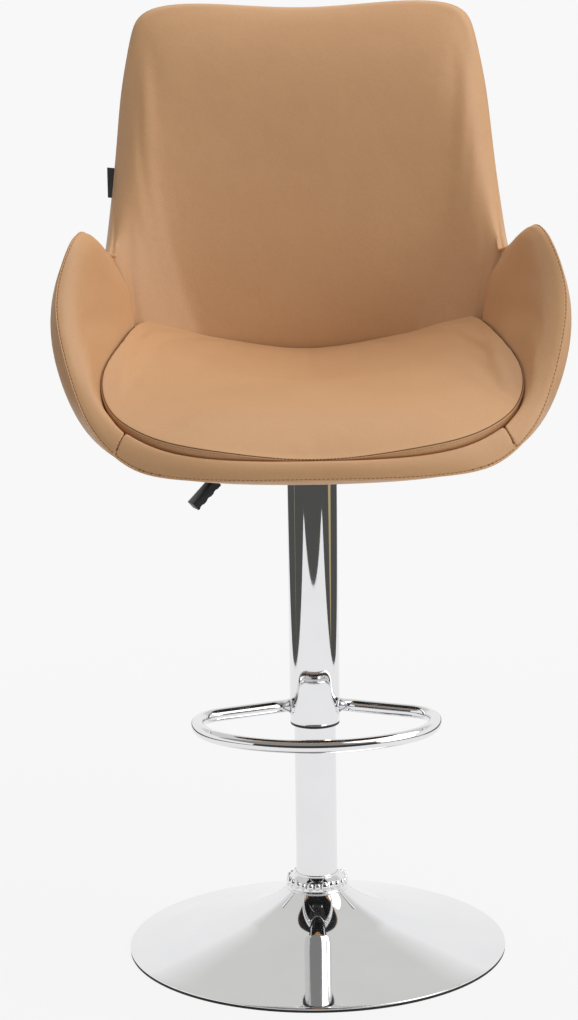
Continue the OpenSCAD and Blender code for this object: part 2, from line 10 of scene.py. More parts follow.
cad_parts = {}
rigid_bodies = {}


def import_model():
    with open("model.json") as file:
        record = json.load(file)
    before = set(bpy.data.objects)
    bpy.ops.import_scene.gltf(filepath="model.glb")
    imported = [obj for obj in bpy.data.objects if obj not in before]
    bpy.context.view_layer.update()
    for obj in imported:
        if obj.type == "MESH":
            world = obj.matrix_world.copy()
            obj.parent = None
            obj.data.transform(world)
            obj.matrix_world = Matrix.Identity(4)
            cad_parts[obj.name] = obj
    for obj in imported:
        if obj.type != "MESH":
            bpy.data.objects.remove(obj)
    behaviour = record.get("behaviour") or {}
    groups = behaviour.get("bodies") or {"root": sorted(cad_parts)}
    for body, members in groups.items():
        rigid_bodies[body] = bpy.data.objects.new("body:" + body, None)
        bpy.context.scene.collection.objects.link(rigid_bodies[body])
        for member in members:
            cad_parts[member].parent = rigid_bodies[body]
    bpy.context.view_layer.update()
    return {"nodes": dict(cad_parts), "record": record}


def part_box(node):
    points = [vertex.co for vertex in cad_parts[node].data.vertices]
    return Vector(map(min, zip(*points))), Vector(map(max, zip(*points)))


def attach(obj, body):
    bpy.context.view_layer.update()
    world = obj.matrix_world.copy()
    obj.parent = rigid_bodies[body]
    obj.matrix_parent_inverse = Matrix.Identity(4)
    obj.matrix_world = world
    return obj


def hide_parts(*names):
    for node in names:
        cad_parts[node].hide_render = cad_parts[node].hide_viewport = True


for leftover in list(bpy.data.objects):
    bpy.data.objects.remove(leftover)
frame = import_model()
nodes = frame["nodes"]
print("frame loaded:", len(nodes), "nodes")


def hexColour(text):            # sRGB hex to the linear values that the sockets take
    channels = [int(text[i:i + 2], 16) / 255 for i in (1, 3, 5)]
    return [c / 12.92 if c <= 0.04045 else ((c + 0.055) / 1.055) ** 2.4 for c in channels] + [1]


def addNode(material, kind, settings=None, links=None):
    tree = material.node_tree
    node = tree.nodes.new(kind)
    for name, value in (settings or {}).items():
        if isinstance(name, int) or name in node.inputs:
            node.inputs[name].default_value = value
        else:
            setattr(node, name, value)
    for name, output in (links or {}).items():
        tree.links.new(output, node.inputs[name])
    return node


def newMaterial(name, shader):
    material = bpy.data.materials.new(name)
    material.use_nodes = True
    surface = material.node_tree.nodes["Principled BSDF"]
    for socket, value in shader.items():
        surface.inputs[socket].default_value = value
    return material, surface


def link(material, output, target):
    material.node_tree.links.new(output, target)


cameraView = {
    "place": (-0.0850, -3.9991, 1.472),
    "lookDown": 13.04,          # degrees below level
    "turn": -0.82,              # degrees about +Z
    "roll": -0.81,
    "lens": 122.05,             # mm
    "sensor": 36,               # mm, the picture's long side
    "sightEnd": 100,            # metres
}


def makeCamera():
    data = bpy.data.cameras.new("camera")
    data.lens = cameraView["lens"]
    data.sensor_width = cameraView["sensor"]
    data.clip_end = cameraView["sightEnd"]
    camera = bpy.data.objects.new("camera", data)
    camera.matrix_world = (Matrix.Translation(cameraView["place"])
                           @ Matrix.Rotation(math.radians(cameraView["turn"]), 4, "Z")
                           @ Matrix.Rotation(math.radians(90 - cameraView["lookDown"]), 4, "X")
                           @ Matrix.Rotation(math.radians(cameraView["roll"]), 4, "Z"))
    bpy.context.scene.collection.objects.link(camera)
    bpy.context.scene.camera = camera


stage = {
    "floorSize": 60,
    "floorColour": "#F4F4F4",
    "floorGlow": (0.93, 1.0),   # share of plain white near the stool and far from it
    "glowReach": (0.55, 1.5),   # metres from the stool between these two
    "skyWhite": "#F8F8F8",
    "skyFill": 0.37,
    "lamps": {                  # place, aimed at, size in metres, watts, seen in the chrome
        "keyLamp": ((1.8, -0.6, 3.0), (0, 0, 0.85), 3.0, 40, True),
        "sideLamp": ((2.8, -1.6, 1.6), (0, 0, 0.85), 2.0, 20, True),
        "topLamp": ((0.1, 0.8, 3.1), (0, 0, 0.6), 2.0, 24, False),
    },
}
reflections = {                 # cards and floor that only show in the chrome, in metres
    "darkFloor": "#525250",
    "floorHalf": 9,
    "cardHeights": (0.004, 0.006),      # dark floor and patches, above the stage's floor
    "paper": ((-1.62, -1.8), (1.66, -1.85), (1.2, 0.6), (-1.2, 0.6)),   # corners of its pale part
    "patches": (("#B9A67C", ((1.38, -0.2), (5, -1.5), (5, 0.5))),       # what else shows in the tubes
                ("#C9C4A8", ((-1.3, 0.02), (-6, -0.03), (-6, 0.13)))),
    "ceiling": "#D8D8D5",
    "ceilingHeight": 3.6,
    "ceilingSides": 96,
    "ceilingFade": (4.2, 6.0),  # metres from the middle, from grey to white
    "frontCeiling": "#8E8E8C",  # over the camera, from this far in front of the stool
    "frontFrom": -0.8,
    "frontWall": "#3A3A3A",
    "wallPlace": -6.0,
    "wallHalf": 6,
    "wallGap": (0.01, 0.02),    # wall above the floor, front ceiling under the ceiling
    "strip": ((3.8, 1.4), (2.46, 2.32)),    # ends of the light tube on the ceiling, each side
    "stripGap": 0.05,
    "stripOut": (0.088, 0.1328),            # its dark edge's width as a step outwards and back
    "stripLight": 3,            # steps out to the far edge of its light part
}


def seenDirectly(material):
    path = addNode(material, "ShaderNodeLightPath")
    either = addNode(material, "ShaderNodeMath", {"operation": "MAXIMUM"},
                     {0: path.outputs["Is Camera Ray"], 1: path.outputs["Is Glossy Ray"]})
    return addNode(material, "ShaderNodeMath", {"operation": "MAXIMUM"},
                   {0: either.outputs[0], 1: path.outputs["Is Transmission Ray"]}).outputs[0]


def studioCard(bm, name, colour, fade=None):    # a card of the studio that only shows in the chrome
    card = meshObject(bm, name)
    material = bpy.data.materials.new(name + "Paint")
    material.use_nodes = True
    material.node_tree.nodes.clear()
    glow = addNode(material, "ShaderNodeEmission", {"Color": hexColour(colour), "Strength": 1})
    if fade:
        spot = addNode(material, "ShaderNodeTexCoord").outputs["Object"]
        away = addNode(material, "ShaderNodeVectorMath", {"operation": "LENGTH"}, {0: spot})
        share = addNode(material, "ShaderNodeMapRange", {"From Min": fade[0], "From Max": fade[1]},
                        {"Value": away.outputs["Value"]})
        tone = addNode(material, "ShaderNodeMix", {"data_type": "RGBA", 6: hexColour(colour),
                                                   7: hexColour(stage["skyWhite"])},
                       {0: share.outputs[0]})
        link(material, tone.outputs[2], glow.inputs["Color"])
    addNode(material, "ShaderNodeOutputMaterial", None, {"Surface": glow.outputs[0]})
    card.data.materials.append(material)
    for ray in ("visible_camera", "visible_diffuse", "visible_shadow", "visible_transmission"):
        setattr(card, ray, False)


def quad(bm, *corners):
    bm.faces.new([bm.verts.new(corner) for corner in corners])


def makeStage():
    scene = bpy.context.scene
    world = bpy.data.worlds.new("softSky")
    world.use_nodes = True
    world.node_tree.nodes.clear()
    seen = seenDirectly(world)
    fill = addNode(world, "ShaderNodeBackground", {"Color": (1, 1, 1, 1), "Strength": stage["skyFill"]})
    white = addNode(world, "ShaderNodeBackground", {"Color": hexColour(stage["skyWhite"]), "Strength": 1})
    mixed = addNode(world, "ShaderNodeMixShader", None,
                    {0: seen, 1: fill.outputs[0], 2: white.outputs[0]})
    addNode(world, "ShaderNodeOutputWorld", None, {"Surface": mixed.outputs[0]})
    scene.world = world

    bm = bmesh.new()
    bmesh.ops.create_grid(bm, x_segments=1, y_segments=1, size=stage["floorSize"] / 2)
    floor = meshObject(bm, "floor")
    material = bpy.data.materials.new("paintedPaper")
    material.use_nodes = True
    material.node_tree.nodes.clear()
    seen = seenDirectly(material)
    spot = addNode(material, "ShaderNodeTexCoord").outputs["Object"]
    away = addNode(material, "ShaderNodeVectorMath", {"operation": "LENGTH"}, {0: spot})
    near, far = stage["glowReach"]
    share = addNode(material, "ShaderNodeMapRange",
                    {"From Min": near, "From Max": far, "To Min": stage["floorGlow"][0],
                     "To Max": stage["floorGlow"][1]}, {"Value": away.outputs["Value"]})
    paper = addNode(material, "ShaderNodeBsdfDiffuse", {"Color": hexColour(stage["floorColour"])})
    glow = addNode(material, "ShaderNodeEmission",
                   {"Color": hexColour(stage["skyWhite"]), "Strength": 1})
    shown = addNode(material, "ShaderNodeMath", {"operation": "MULTIPLY"},
                    {0: seen, 1: share.outputs[0]})
    mixed = addNode(material, "ShaderNodeMixShader", None,
                    {0: shown.outputs[0], 1: paper.outputs[0], 2: glow.outputs[0]})
    addNode(material, "ShaderNodeOutputMaterial", None, {"Surface": mixed.outputs[0]})
    floor.data.materials.append(material)
    for name, (place, target, size, watts, inChrome) in stage["lamps"].items():
        lamp = bpy.data.lights.new(name, "AREA")
        lamp.shape = "DISK"
        lamp.size = size
        lamp.energy = watts
        lampObject = bpy.data.objects.new(name, lamp)
        lampObject.location = place
        lampObject.rotation_mode = "QUATERNION"
        lampObject.rotation_quaternion = (Vector(target) - Vector(place)).to_track_quat("-Z", "Y")
        lampObject.visible_glossy = inChrome
        scene.collection.objects.link(lampObject)
    scene.view_settings.view_transform = "Standard"


def makeReflections():
    half, (low, high) = reflections["floorHalf"], reflections["cardHeights"]
    (x0, y0), (x1, y1), (x2, y2), (x3, y3) = reflections["paper"]
    bm = bmesh.new()
    for outline in (((-half, -half), (half, -half), (half, y1), (x1, y1), (x0, y0), (-half, y0)),
                    ((-half, y0), (x0, y0), (x3, y3), (x3, half), (-half, half)),
                    ((x1, y1), (half, y1), (half, half), (x2, half), (x2, y2))):
        quad(bm, *((x, y, low) for x, y in outline))
    studioCard(bm, "darkFloor", reflections["darkFloor"])
    for i, (colour, outline) in enumerate(reflections["patches"]):
        bm = bmesh.new()
        quad(bm, *((x, y, high) for x, y in outline))
        studioCard(bm, f"floorPatch{i}", colour)
    top = reflections["ceilingHeight"]
    bm = bmesh.new()
    bmesh.ops.create_circle(bm, cap_ends=True, segments=reflections["ceilingSides"],
                            radius=reflections["ceilingFade"][1])
    bmesh.ops.translate(bm, verts=bm.verts, vec=(0, 0, top))
    reach = [math.hypot(r, top) for r in reflections["ceilingFade"]]
    studioCard(bm, "ceilingCard", reflections["ceiling"], reach)
    wall, edge, wide = reflections["wallPlace"], reflections["frontFrom"], reflections["wallHalf"]
    foot, gap = reflections["wallGap"]
    bm = bmesh.new()
    quad(bm, *((x, y, top - gap) for x, y in ((-wide, wall), (wide, wall), (wide, edge), (-wide, edge))))
    studioCard(bm, "frontCeiling", reflections["frontCeiling"])
    bm = bmesh.new()
    quad(bm, *((x, wall, z) for x, z in ((-wide, foot), (wide, foot), (wide, top), (-wide, top))))
    studioCard(bm, "frontWall", reflections["frontWall"])
    dark, light = bmesh.new(), bmesh.new()
    across, along = reflections["stripOut"]
    for side in (-1, 1):
        a, b = (Vector((x * side, y, top - reflections["stripGap"])) for x, y in reflections["strip"])
        out = Vector((side * across, along, 0))
        far = out * reflections["stripLight"]
        quad(dark, a, b, b + out, a + out)
        quad(light, a + out, b + out, b + far, a + far)
    studioCard(dark, "tubeEdge", reflections["frontWall"])
    studioCard(light, "tubeLight", stage["skyWhite"])


def meshObject(bm, name):
    mesh = bpy.data.meshes.new(name)
    bm.to_mesh(mesh)
    bm.free()
    for polygon in mesh.polygons:
        polygon.use_smooth = True
    piece = bpy.data.objects.new(name, mesh)
    bpy.context.scene.collection.objects.link(piece)
    return piece


def mergedCopy(node):           # a CAD node is loose triangles, so its copy is merged first
    bm = bmesh.new()
    bm.from_mesh(nodes[node].data)
    bmesh.ops.remove_doubles(bm, verts=bm.verts, dist=1e-5)
    return bm


def joinQuads(bm, faces):
    bmesh.ops.join_triangles(bm, faces=faces, angle_face_threshold=math.radians(60),
                             angle_shape_threshold=math.pi, topology_influence=2)


def quadCopy(node):
    bm = mergedCopy(node)
    joinQuads(bm, bm.faces)
    return bm


def creaseLayer(bm):
    return bm.edges.layers.float.get("crease_edge") or bm.edges.layers.float.new("crease_edge")


def treeOf(piece):
    return BVHTree.FromObject(piece, bpy.context.evaluated_depsgraph_get())


def addSubdivision(piece, levels):
    modifier = piece.modifiers.new("subdivision", "SUBSURF")
    modifier.levels = levels
    modifier.render_levels = levels


def settle(piece):              # the modifiers' result becomes the piece's own mesh
    depsgraph = bpy.context.evaluated_depsgraph_get()
    mesh = bpy.data.meshes.new_from_object(piece.evaluated_get(depsgraph))
    piece.modifiers.clear()
    piece.data = mesh


def addPiece(piece, body, slot, material, *replaced):
    piece.data.materials.clear()
    piece.data.materials.append(material)
    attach(piece, body)
    if replaced:
        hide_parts(*replaced)
    return piece


fauxLeather = {                 # PU coat on a knitted back: smooth, finely pebbled, soft satin
    "light": "#D2A375",
    "deep": "#C9996C",
    "pebbleShade": "#8A5F38",        # painted shade: a darker colour between the pebbles
    "pebbleShadeShare": 0.05,
    "ior": 1.5,
    "roughness": (0.43, 0.52),
    "patch": 0.11,              # metres across a paler or darker patch
    "pebble": 0.0026,           # drawn about twice its real size, so that it shows
    "pebbleBump": (0.22, 0.0003),   # strength, and depth in metres
    "wrinkle": 0.03,            # metres between soft wrinkles
    "wrinkleBump": (0.25, 0.0025),
}


def makeLeather():
    material, surface = newMaterial("polyurethaneLeather", {"IOR": fauxLeather["ior"], "Sheen Weight": 0.05,
                                                            "Sheen Roughness": 0.5})
    spot = addNode(material, "ShaderNodeTexCoord").outputs["Object"]
    patches = addNode(material, "ShaderNodeTexNoise", {"Scale": 1 / fauxLeather["patch"], "Detail": 4,
                                                       "Roughness": 0.6}, {"Vector": spot})
    tone = addNode(material, "ShaderNodeMix", {"data_type": "RGBA", 6: hexColour(fauxLeather["deep"]),
                                               7: hexColour(fauxLeather["light"])},
                   {0: patches.outputs["Fac"]})
    pebbles = addNode(material, "ShaderNodeTexVoronoi", {"Scale": 1 / fauxLeather["pebble"],
                                                         "feature": "SMOOTH_F1", "Smoothness": 0.5},
                      {"Vector": spot})
    # painted shade: the hollows between the pebbles are mixed towards the darker colour
    pebbleShade = addNode(material, "ShaderNodeMapRange", {"From Min": 0.25, "From Max": 0.75, "To Min": 0,
                                                      "To Max": fauxLeather["pebbleShadeShare"]},
                     {"Value": pebbles.outputs["Distance"]})
    grain = addNode(material, "ShaderNodeMix", {"data_type": "RGBA", 7: hexColour(fauxLeather["pebbleShade"])},
                    {0: pebbleShade.outputs[0], 6: tone.outputs[2]})
    link(material, grain.outputs[2], surface.inputs["Base Color"])
    low, high = fauxLeather["roughness"]
    shine = addNode(material, "ShaderNodeMapRange", {"From Min": 0.3, "From Max": 0.7, "To Min": low,
                                                     "To Max": high}, {"Value": patches.outputs["Fac"]})
    link(material, shine.outputs[0], surface.inputs["Roughness"])
    wrinkles = addNode(material, "ShaderNodeTexNoise", {"Scale": 1 / fauxLeather["wrinkle"], "Detail": 2,
                                                        "Distortion": 0.4}, {"Vector": spot})
    strength, depth = fauxLeather["wrinkleBump"]
    soft = addNode(material, "ShaderNodeBump", {"Strength": strength, "Distance": depth},
                   {"Height": wrinkles.outputs["Fac"]})
    strength, depth = fauxLeather["pebbleBump"]
    fine = addNode(material, "ShaderNodeBump", {"Strength": strength, "Distance": depth, "invert": True},
                   {"Height": pebbles.outputs["Distance"], "Normal": soft.outputs[0]})
    link(material, fine.outputs[0], surface.inputs["Normal"])
    return material


finishes = {                    # patch and grain in metres, along: stretch of the pattern per axis
    # decorative chrome on polished steel: mirror bright, with the faintest waviness of the buffing
    "chromePlate": {"light": "#F0F0F1", "deep": "#E6E6E8", "metal": 1, "rough": (0.02, 0.05),
                    "patch": 0.06, "grain": 0.02, "bump": (0.03, 0.0002)},
    # clear zinc on pressed steel: pale grey, blotchy, satin
    "zincPlate": {"light": "#C2C3C6", "deep": "#A6A7A9", "metal": 1, "rough": (0.26, 0.42),
                  "patch": 0.02, "grain": 0.0012, "bump": (0.12, 0.0002)},
    # ground and hardened steel: fine lines round the turned faces
    "groundSteel": {"light": "#D2D3D5", "deep": "#BFC0C2", "metal": 1, "rough": (0.12, 0.24),
                    "patch": 0.01, "grain": 0.0006, "bump": (0.08, 0.0001)},
    # rough grey casting: sandy skin
    "castIron": {"light": "#57575A", "deep": "#3B3B3E", "metal": 1, "rough": (0.6, 0.8),
                 "patch": 0.03, "grain": 0.0025, "bump": (0.6, 0.0008)},
    # drawn brass, slightly tarnished
    "brassStrip": {"light": "#CFAE68", "deep": "#B8934C", "metal": 1, "rough": (0.22, 0.38),
                   "patch": 0.008, "grain": 0.001, "bump": (0.1, 0.0001)},
    # moulded polypropylene: black with a fine spark-eroded grain
    "mouldedPlastic": {"light": "#1F2023", "deep": "#141518", "metal": 0, "rough": (0.34, 0.48),
                       "patch": 0.02, "grain": 0.0012, "bump": (0.2, 0.0002)},
    # moulded nitrile rubber: dull black, dusty bloom
    "mouldedRubber": {"light": "#1C1C1D", "deep": "#101011", "metal": 0, "rough": (0.66, 0.84),
                      "patch": 0.03, "grain": 0.0016, "bump": (0.25, 0.0003)},
    # polyester powder coat: black with orange peel
    "powderCoat": {"light": "#222226", "deep": "#17171A", "metal": 0, "rough": (0.4, 0.52),
                   "patch": 0.03, "grain": 0.0022, "bump": (0.3, 0.0004)},
    # needled polypropylene cloth: matt black, fibrous
    "needledCloth": {"light": "#151516", "deep": "#0A0A0B", "metal": 0, "rough": (0.85, 0.97),
                     "patch": 0.012, "grain": 0.0016, "bump": (0.7, 0.0006)},
    # birch veneer: pale, with long darker pores along X
    "birchVeneer": {"light": "#D3B48A", "deep": "#B8925F", "metal": 0, "rough": (0.5, 0.66),
                    "patch": 0.03, "grain": 0.0014, "bump": (0.3, 0.0003), "along": (0.12, 1, 1)},
    # waxed polyester thread: dark brown, twisted
    "sewingThread": {"light": "#80572F", "deep": "#5A3B1E", "metal": 0, "rough": (0.55, 0.7),
                     "patch": 0.004, "grain": 0.0007, "bump": (0.5, 0.0002)},
    # paler thread of the cushion's top stitching
    "paleThread": {"light": "#DDBB92", "deep": "#C39C70", "metal": 0, "rough": (0.5, 0.65),
                   "patch": 0.004, "grain": 0.0007, "bump": (0.5, 0.0002)},
}


def makeFinish(name):
    look = finishes[name]
    material, surface = newMaterial(name, {"Metallic": look["metal"]})
    spot = addNode(material, "ShaderNodeTexCoord").outputs["Object"]
    laid = addNode(material, "ShaderNodeMapping", {"Scale": look.get("along", (1, 1, 1))},
                   {"Vector": spot}).outputs[0]
    patches = addNode(material, "ShaderNodeTexNoise", {"Scale": 1 / look["patch"], "Detail": 5},
                      {"Vector": laid})
    tone = addNode(material, "ShaderNodeMix", {"data_type": "RGBA", 6: hexColour(look["deep"]),
                                               7: hexColour(look["light"])},
                   {0: patches.outputs["Fac"]})
    link(material, tone.outputs[2], surface.inputs["Base Color"])
    shine = addNode(material, "ShaderNodeMapRange", {"From Min": 0.3, "From Max": 0.7,
                                                     "To Min": look["rough"][0], "To Max": look["rough"][1]},
                    {"Value": patches.outputs["Fac"]})
    link(material, shine.outputs[0], surface.inputs["Roughness"])
    grain = addNode(material, "ShaderNodeTexNoise", {"Scale": 1 / look["grain"], "Detail": 2},
                    {"Vector": laid})
    strength, depth = look["bump"]
    bump = addNode(material, "ShaderNodeBump", {"Strength": strength, "Distance": depth},
                   {"Height": grain.outputs["Fac"]})
    link(material, bump.outputs[0], surface.inputs["Normal"])
    return material


ribbon = {                      # woven polyester tape: ribs across it, their raised tops lighter as a painted highlight
    "black": "#17171A",
    # painted highlight: colour of the ribs' raised tops
    "high": "#2E2E33",
    "rib": 0.0016,              # metres from rib to rib
    "waveScale": 0.31,          # a wave node's scale for one rib per metre
    "bump": (0.6, 0.0004),
}


def makeRibbonWeave():
    material, surface = newMaterial("wovenTape", {"Roughness": 0.7, "Sheen Weight": 0.2})
    spot = addNode(material, "ShaderNodeTexCoord").outputs["Object"]
    scale = ribbon["waveScale"] / ribbon["rib"]
    ribs = addNode(material, "ShaderNodeTexWave", {"Scale": scale, "Distortion": 0.4,
                                                   "bands_direction": "Z"}, {"Vector": spot})
    warp = addNode(material, "ShaderNodeTexWave", {"Scale": scale, "Distortion": 0.4,
                                                   "bands_direction": "X"}, {"Vector": spot})
    weave = addNode(material, "ShaderNodeMath", {"operation": "MULTIPLY"},
                    {0: ribs.outputs["Fac"], 1: warp.outputs["Fac"]})
    # painted highlight: lighter where the weave stands highest
    tone = addNode(material, "ShaderNodeMix", {"data_type": "RGBA", 6: hexColour(ribbon["black"]),
                                               7: hexColour(ribbon["high"])}, {0: weave.outputs[0]})
    link(material, tone.outputs[2], surface.inputs["Base Color"])
    strength, depth = ribbon["bump"]
    bump = addNode(material, "ShaderNodeBump", {"Strength": strength, "Distance": depth},
                   {"Height": weave.outputs[0]})
    link(material, bump.outputs[0], surface.inputs["Normal"])
    return material


makeStage()
makeReflections()
makeCamera()
leather = makeLeather()
finish = {name: makeFinish(name) for name in finishes}
tape = makeRibbonWeave()
slotFinish = {
    "chrome_plate": finish["chromePlate"], "plain_steel": finish["zincPlate"],
    "bright_steel": finish["groundSteel"], "dark_steel": finish["powderCoat"],
    "cast_weight": finish["castIron"], "black_plastic": finish["mouldedPlastic"],
    "black_rubber": finish["mouldedRubber"], "brass_cage": finish["brassStrip"],
    "plywood": finish["birchVeneer"], "tan_cover": leather, "tan_padding": leather,
    "woven_tab": tape, "black_cloth": finish["needledCloth"],
}
for row in frame["record"]["subparts"]:
    for place in nodes[row["node"]].material_slots:
        place.material = slotFinish[row["material_slot"]]
print("studio and finishes made")


chromeWork = {
    "turned": {"base_plate": ("base", 2), "column_tube": ("base", 1), "sleeve_tube": ("seat", 1)},
    "turnSteps": 96,
    "lipRound": 0.0006,         # rounded edge of a pressed or cut chrome part, metres
    "barCut": 0.04,             # from the column's axis, where the footrest's bars are cut and drawn again
    "barEnd": 0.0288,           # their new ends' distance from the axis, inside the sleeve's wall
    "barLevels": 2,
}


def turnedCopy(node, turn=0.0, lip=chromeWork["lipRound"]):     # the node's section, spun again smoothly
    bm = mergedCopy(node)
    bmesh.ops.rotate(bm, verts=bm.verts, cent=(0, 0, 0), matrix=Matrix.Rotation(turn, 3, "Z"))
    geometry = bm.verts[:] + bm.edges[:] + bm.faces[:]
    bmesh.ops.bisect_plane(bm, geom=geometry, dist=1e-6, plane_co=(0, 0, 0), plane_no=(0, 1, 0),
                           clear_inner=True, clear_outer=True)
    behind = [v for v in bm.verts if v.co.x < 0]
    bmesh.ops.delete(bm, geom=behind, context="VERTS")
    bmesh.ops.dissolve_limit(bm, angle_limit=math.radians(0.5), verts=bm.verts, edges=bm.edges)
    bmesh.ops.spin(bm, geom=bm.verts[:] + bm.edges[:], cent=(0, 0, 0), axis=(0, 0, 1),
                   angle=2 * math.pi, steps=chromeWork["turnSteps"], use_merge=True)
    bmesh.ops.remove_doubles(bm, verts=bm.verts, dist=1e-6)
    bmesh.ops.recalc_face_normals(bm, faces=bm.faces)
    sharp = [e for e in bm.edges if e.calc_face_angle(0) > math.radians(30)]
    bmesh.ops.bevel(bm, geom=sharp, offset=lip, segments=2, profile=0.5,
                    affect="EDGES", material=-1, clamp_overlap=True)
    return bm


def makeChrome():
    for node, (body, levels) in chromeWork["turned"].items():
        piece = meshObject(turnedCopy(node), node + "_chrome")
        addSubdivision(piece, levels)
        addPiece(piece, body, "chrome_plate", finish["chromePlate"], node)


def makeFootrest():             # the bars' cut ends are drawn again, straight into the sleeve
    bm = quadCopy("footrest_ring")
    crease = creaseLayer(bm)
    bmesh.ops.delete(bm, geom=[v for v in bm.verts if v.co.xy.length < chromeWork["barCut"]], context="VERTS")
    made = bmesh.ops.extrude_edge_only(bm, edges=[e for e in bm.edges if e.is_boundary])["geom"]
    fresh = [v for v in made if isinstance(v, bmesh.types.BMVert)]
    for side in (-1, 1):
        ring = [v for v in fresh if v.co.x * side > 0]
        middle = sum((v.co for v in ring), Vector()) / len(ring)
        behind = [e.other_vert(u).co for v in ring for e in v.link_edges for u in [e.other_vert(v)]
                  if u not in ring for e in u.link_edges if e.other_vert(u) not in ring]
        back = sum(behind, Vector()) / len(behind)
        reach = (middle - back).normalized()
        for v in ring:                  # each point on to the sleeve's wall
            slope, toward = reach.xy.length_squared, v.co.xy.dot(reach.xy)
            over = v.co.xy.length_squared - chromeWork["barEnd"] ** 2
            v.co -= reach * (toward + math.sqrt(toward ** 2 - slope * over)) / slope
        for e in bm.edges:
            if e.is_boundary and e.verts[0] in ring:
                e[crease] = 1
    bmesh.ops.holes_fill(bm, edges=[e for e in bm.edges if e.is_boundary])
    bmesh.ops.recalc_face_normals(bm, faces=bm.faces)
    piece = meshObject(bm, "footrest_chrome")
    addSubdivision(piece, chromeWork["barLevels"])
    addPiece(piece, "seat", "chrome_plate", finish["chromePlate"], "footrest_ring")


collar = {
    "turn": 7.5,                # degrees to a facet's middle
    "lipRound": 0.0005,
    "nodules": 24,
    "nodule": (0.0034, 0.0043, 0.0056),     # half sizes: out, round and up
    "sides": (14, 9),
    "spread": 0.22,             # how much the nodules differ
    "level": 0.0088,            # their middle above the collar's foot
    "shift": 0.0004,            # and how far each may stray from it
    "sunk": 0.0036,             # their middle inside the collar's widest place
    "seed": 4,
}


def makeCollar():
    low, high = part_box("collar_ring")
    bm = turnedCopy("collar_ring", math.radians(collar["turn"]), collar["lipRound"])
    ring = meshObject(bm, "collar_chrome")
    addSubdivision(ring, 1)
    settle(ring)
    random.seed(collar["seed"])
    bm = bmesh.new()
    bm.from_mesh(ring.data)
    around, up = collar["sides"]
    for i in range(collar["nodules"]):
        bead = bmesh.ops.create_uvsphere(bm, u_segments=around, v_segments=up, radius=1)["verts"]
        size = [half * (1 + collar["spread"] * random.uniform(-1, 1)) for half in collar["nodule"]]
        bmesh.ops.scale(bm, verts=bead, vec=size)
        level = low[2] + collar["level"] + random.uniform(-collar["shift"], collar["shift"])
        bmesh.ops.translate(bm, verts=bead, vec=(high[0] - collar["sunk"], 0, level))
        bmesh.ops.rotate(bm, verts=bead, cent=(0, 0, 0),
                         matrix=Matrix.Rotation(2 * math.pi * i / collar["nodules"], 3, "Z"))
    bpy.data.objects.remove(ring)
    addPiece(meshObject(bm, "collar_chrome"), "base", "chrome_plate", finish["chromePlate"], "collar_ring")


makeChrome()
makeFootrest()
makeCollar()
print("chrome base, column, sleeve and footrest made")


upholstery = {                  # lengths in metres
    "seamFold": 0.006,          # from the outer leather's fold to the rim's edge
    "bandRise": 0.0022,         # the rim band stands proud between its two edges
    "slotDepth": 0.006,         # how far the leather goes into the rim's seam
    "notchRow": 18,             # columns from the front to the notch between arm and back
    "wrapShare": (0.1, 0.42, 0.06),     # place of the seam across the rim: arms, notch, top of the back
    "wrapTop": 0.95,            # height from which the back's leather is wrapped right over
    # how far the pads wrap down and stand out over the rim, by column from the front
    "rimDrop": (0.0045, 0.0045, 0.005, 0.007, 0.0105, 0.013, 0.011, 0.009, 0.0075, 0.005, 0.0025, 0.001),
    "rimOut": (0, 0, 0, 0.001, 0.003, 0.005, 0.006, 0.005, 0.003, 0.001, 0, 0),
    "thickness": 0.0045,
    "floorOpening": 0.118,      # radius within which the underside is closed with one flat face
    "backSeam": (0.0035, 0.0022),   # half width and depth of the seams down the back's outside
    "creases": (0.55, 1, 0.9),  # sharpness at the fold, in the rim's seam and in the back's seams
}


def treeOfPoints(points):
    tree = KDTree(len(points))
    for i, point in enumerate(points):
        tree.insert(point, i)
    tree.balance()
    return tree


def touching(bm, tree):         # vertices that lie on one of the tree's points
    return {v for v in bm.verts if tree.find(v.co)[2] < 1e-4}


def vertexTree(node):
    bm = mergedCopy(node)
    tree = treeOfPoints([v.co.copy() for v in bm.verts])
    bm.free()
    return tree


def rimOf(node, inner):         # the node's rim vertices on its side away from the neighbour `inner`
    bm = quadCopy(node)
    shared = touching(bm, vertexTree(inner))
    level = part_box("outer_cover")[0][2] + 0.010
    rim = [v.co.copy() for v in bm.verts if v not in shared
           and any(e.other_vert(v) in shared and e.other_vert(v).co.z > level for e in v.link_edges)]
    bm.free()
    return sorted(rim, key=lambda p: math.atan2(round(p.x, 5) + 0.0, -p.y) % (2 * math.pi))


def fullLoop(points):           # a subdivided crease cuts its corners a little, so they are pushed out first
    count = len(points)
    return [p + (p - (points[i - 1] + points[(i + 1) % count]) / 2) / 3 for i, p in enumerate(points)]


def seamShare(point, row):      # where the seam lies between the outer rim and the pad's old edge
    arms, notch, top = upholstery["wrapShare"]
    notchRow = upholstery["notchRow"]
    if row <= notchRow:
        return arms + (notch - arms) * max(0, (row - notchRow + 3) / 3) ** 2
    start = outerRim[notchRow].z
    climb = (point.z - start) / (upholstery["wrapTop"] - start)
    return notch + (top - notch) * min(1, max(0, climb)) ** 0.7


def lowered(rim):               # the pads wrap down over the rim towards the front corners
    moved = []
    for i, point in enumerate(rim):
        row = min(i, len(rim) - i)
        drop, out = (upholstery[key][row] if row < len(upholstery[key]) else 0
                     for key in ("rimDrop", "rimOut"))
        moved.append(point + Vector((point.x, point.y, 0)).normalized() * out - Vector((0, 0, drop)))
    return moved


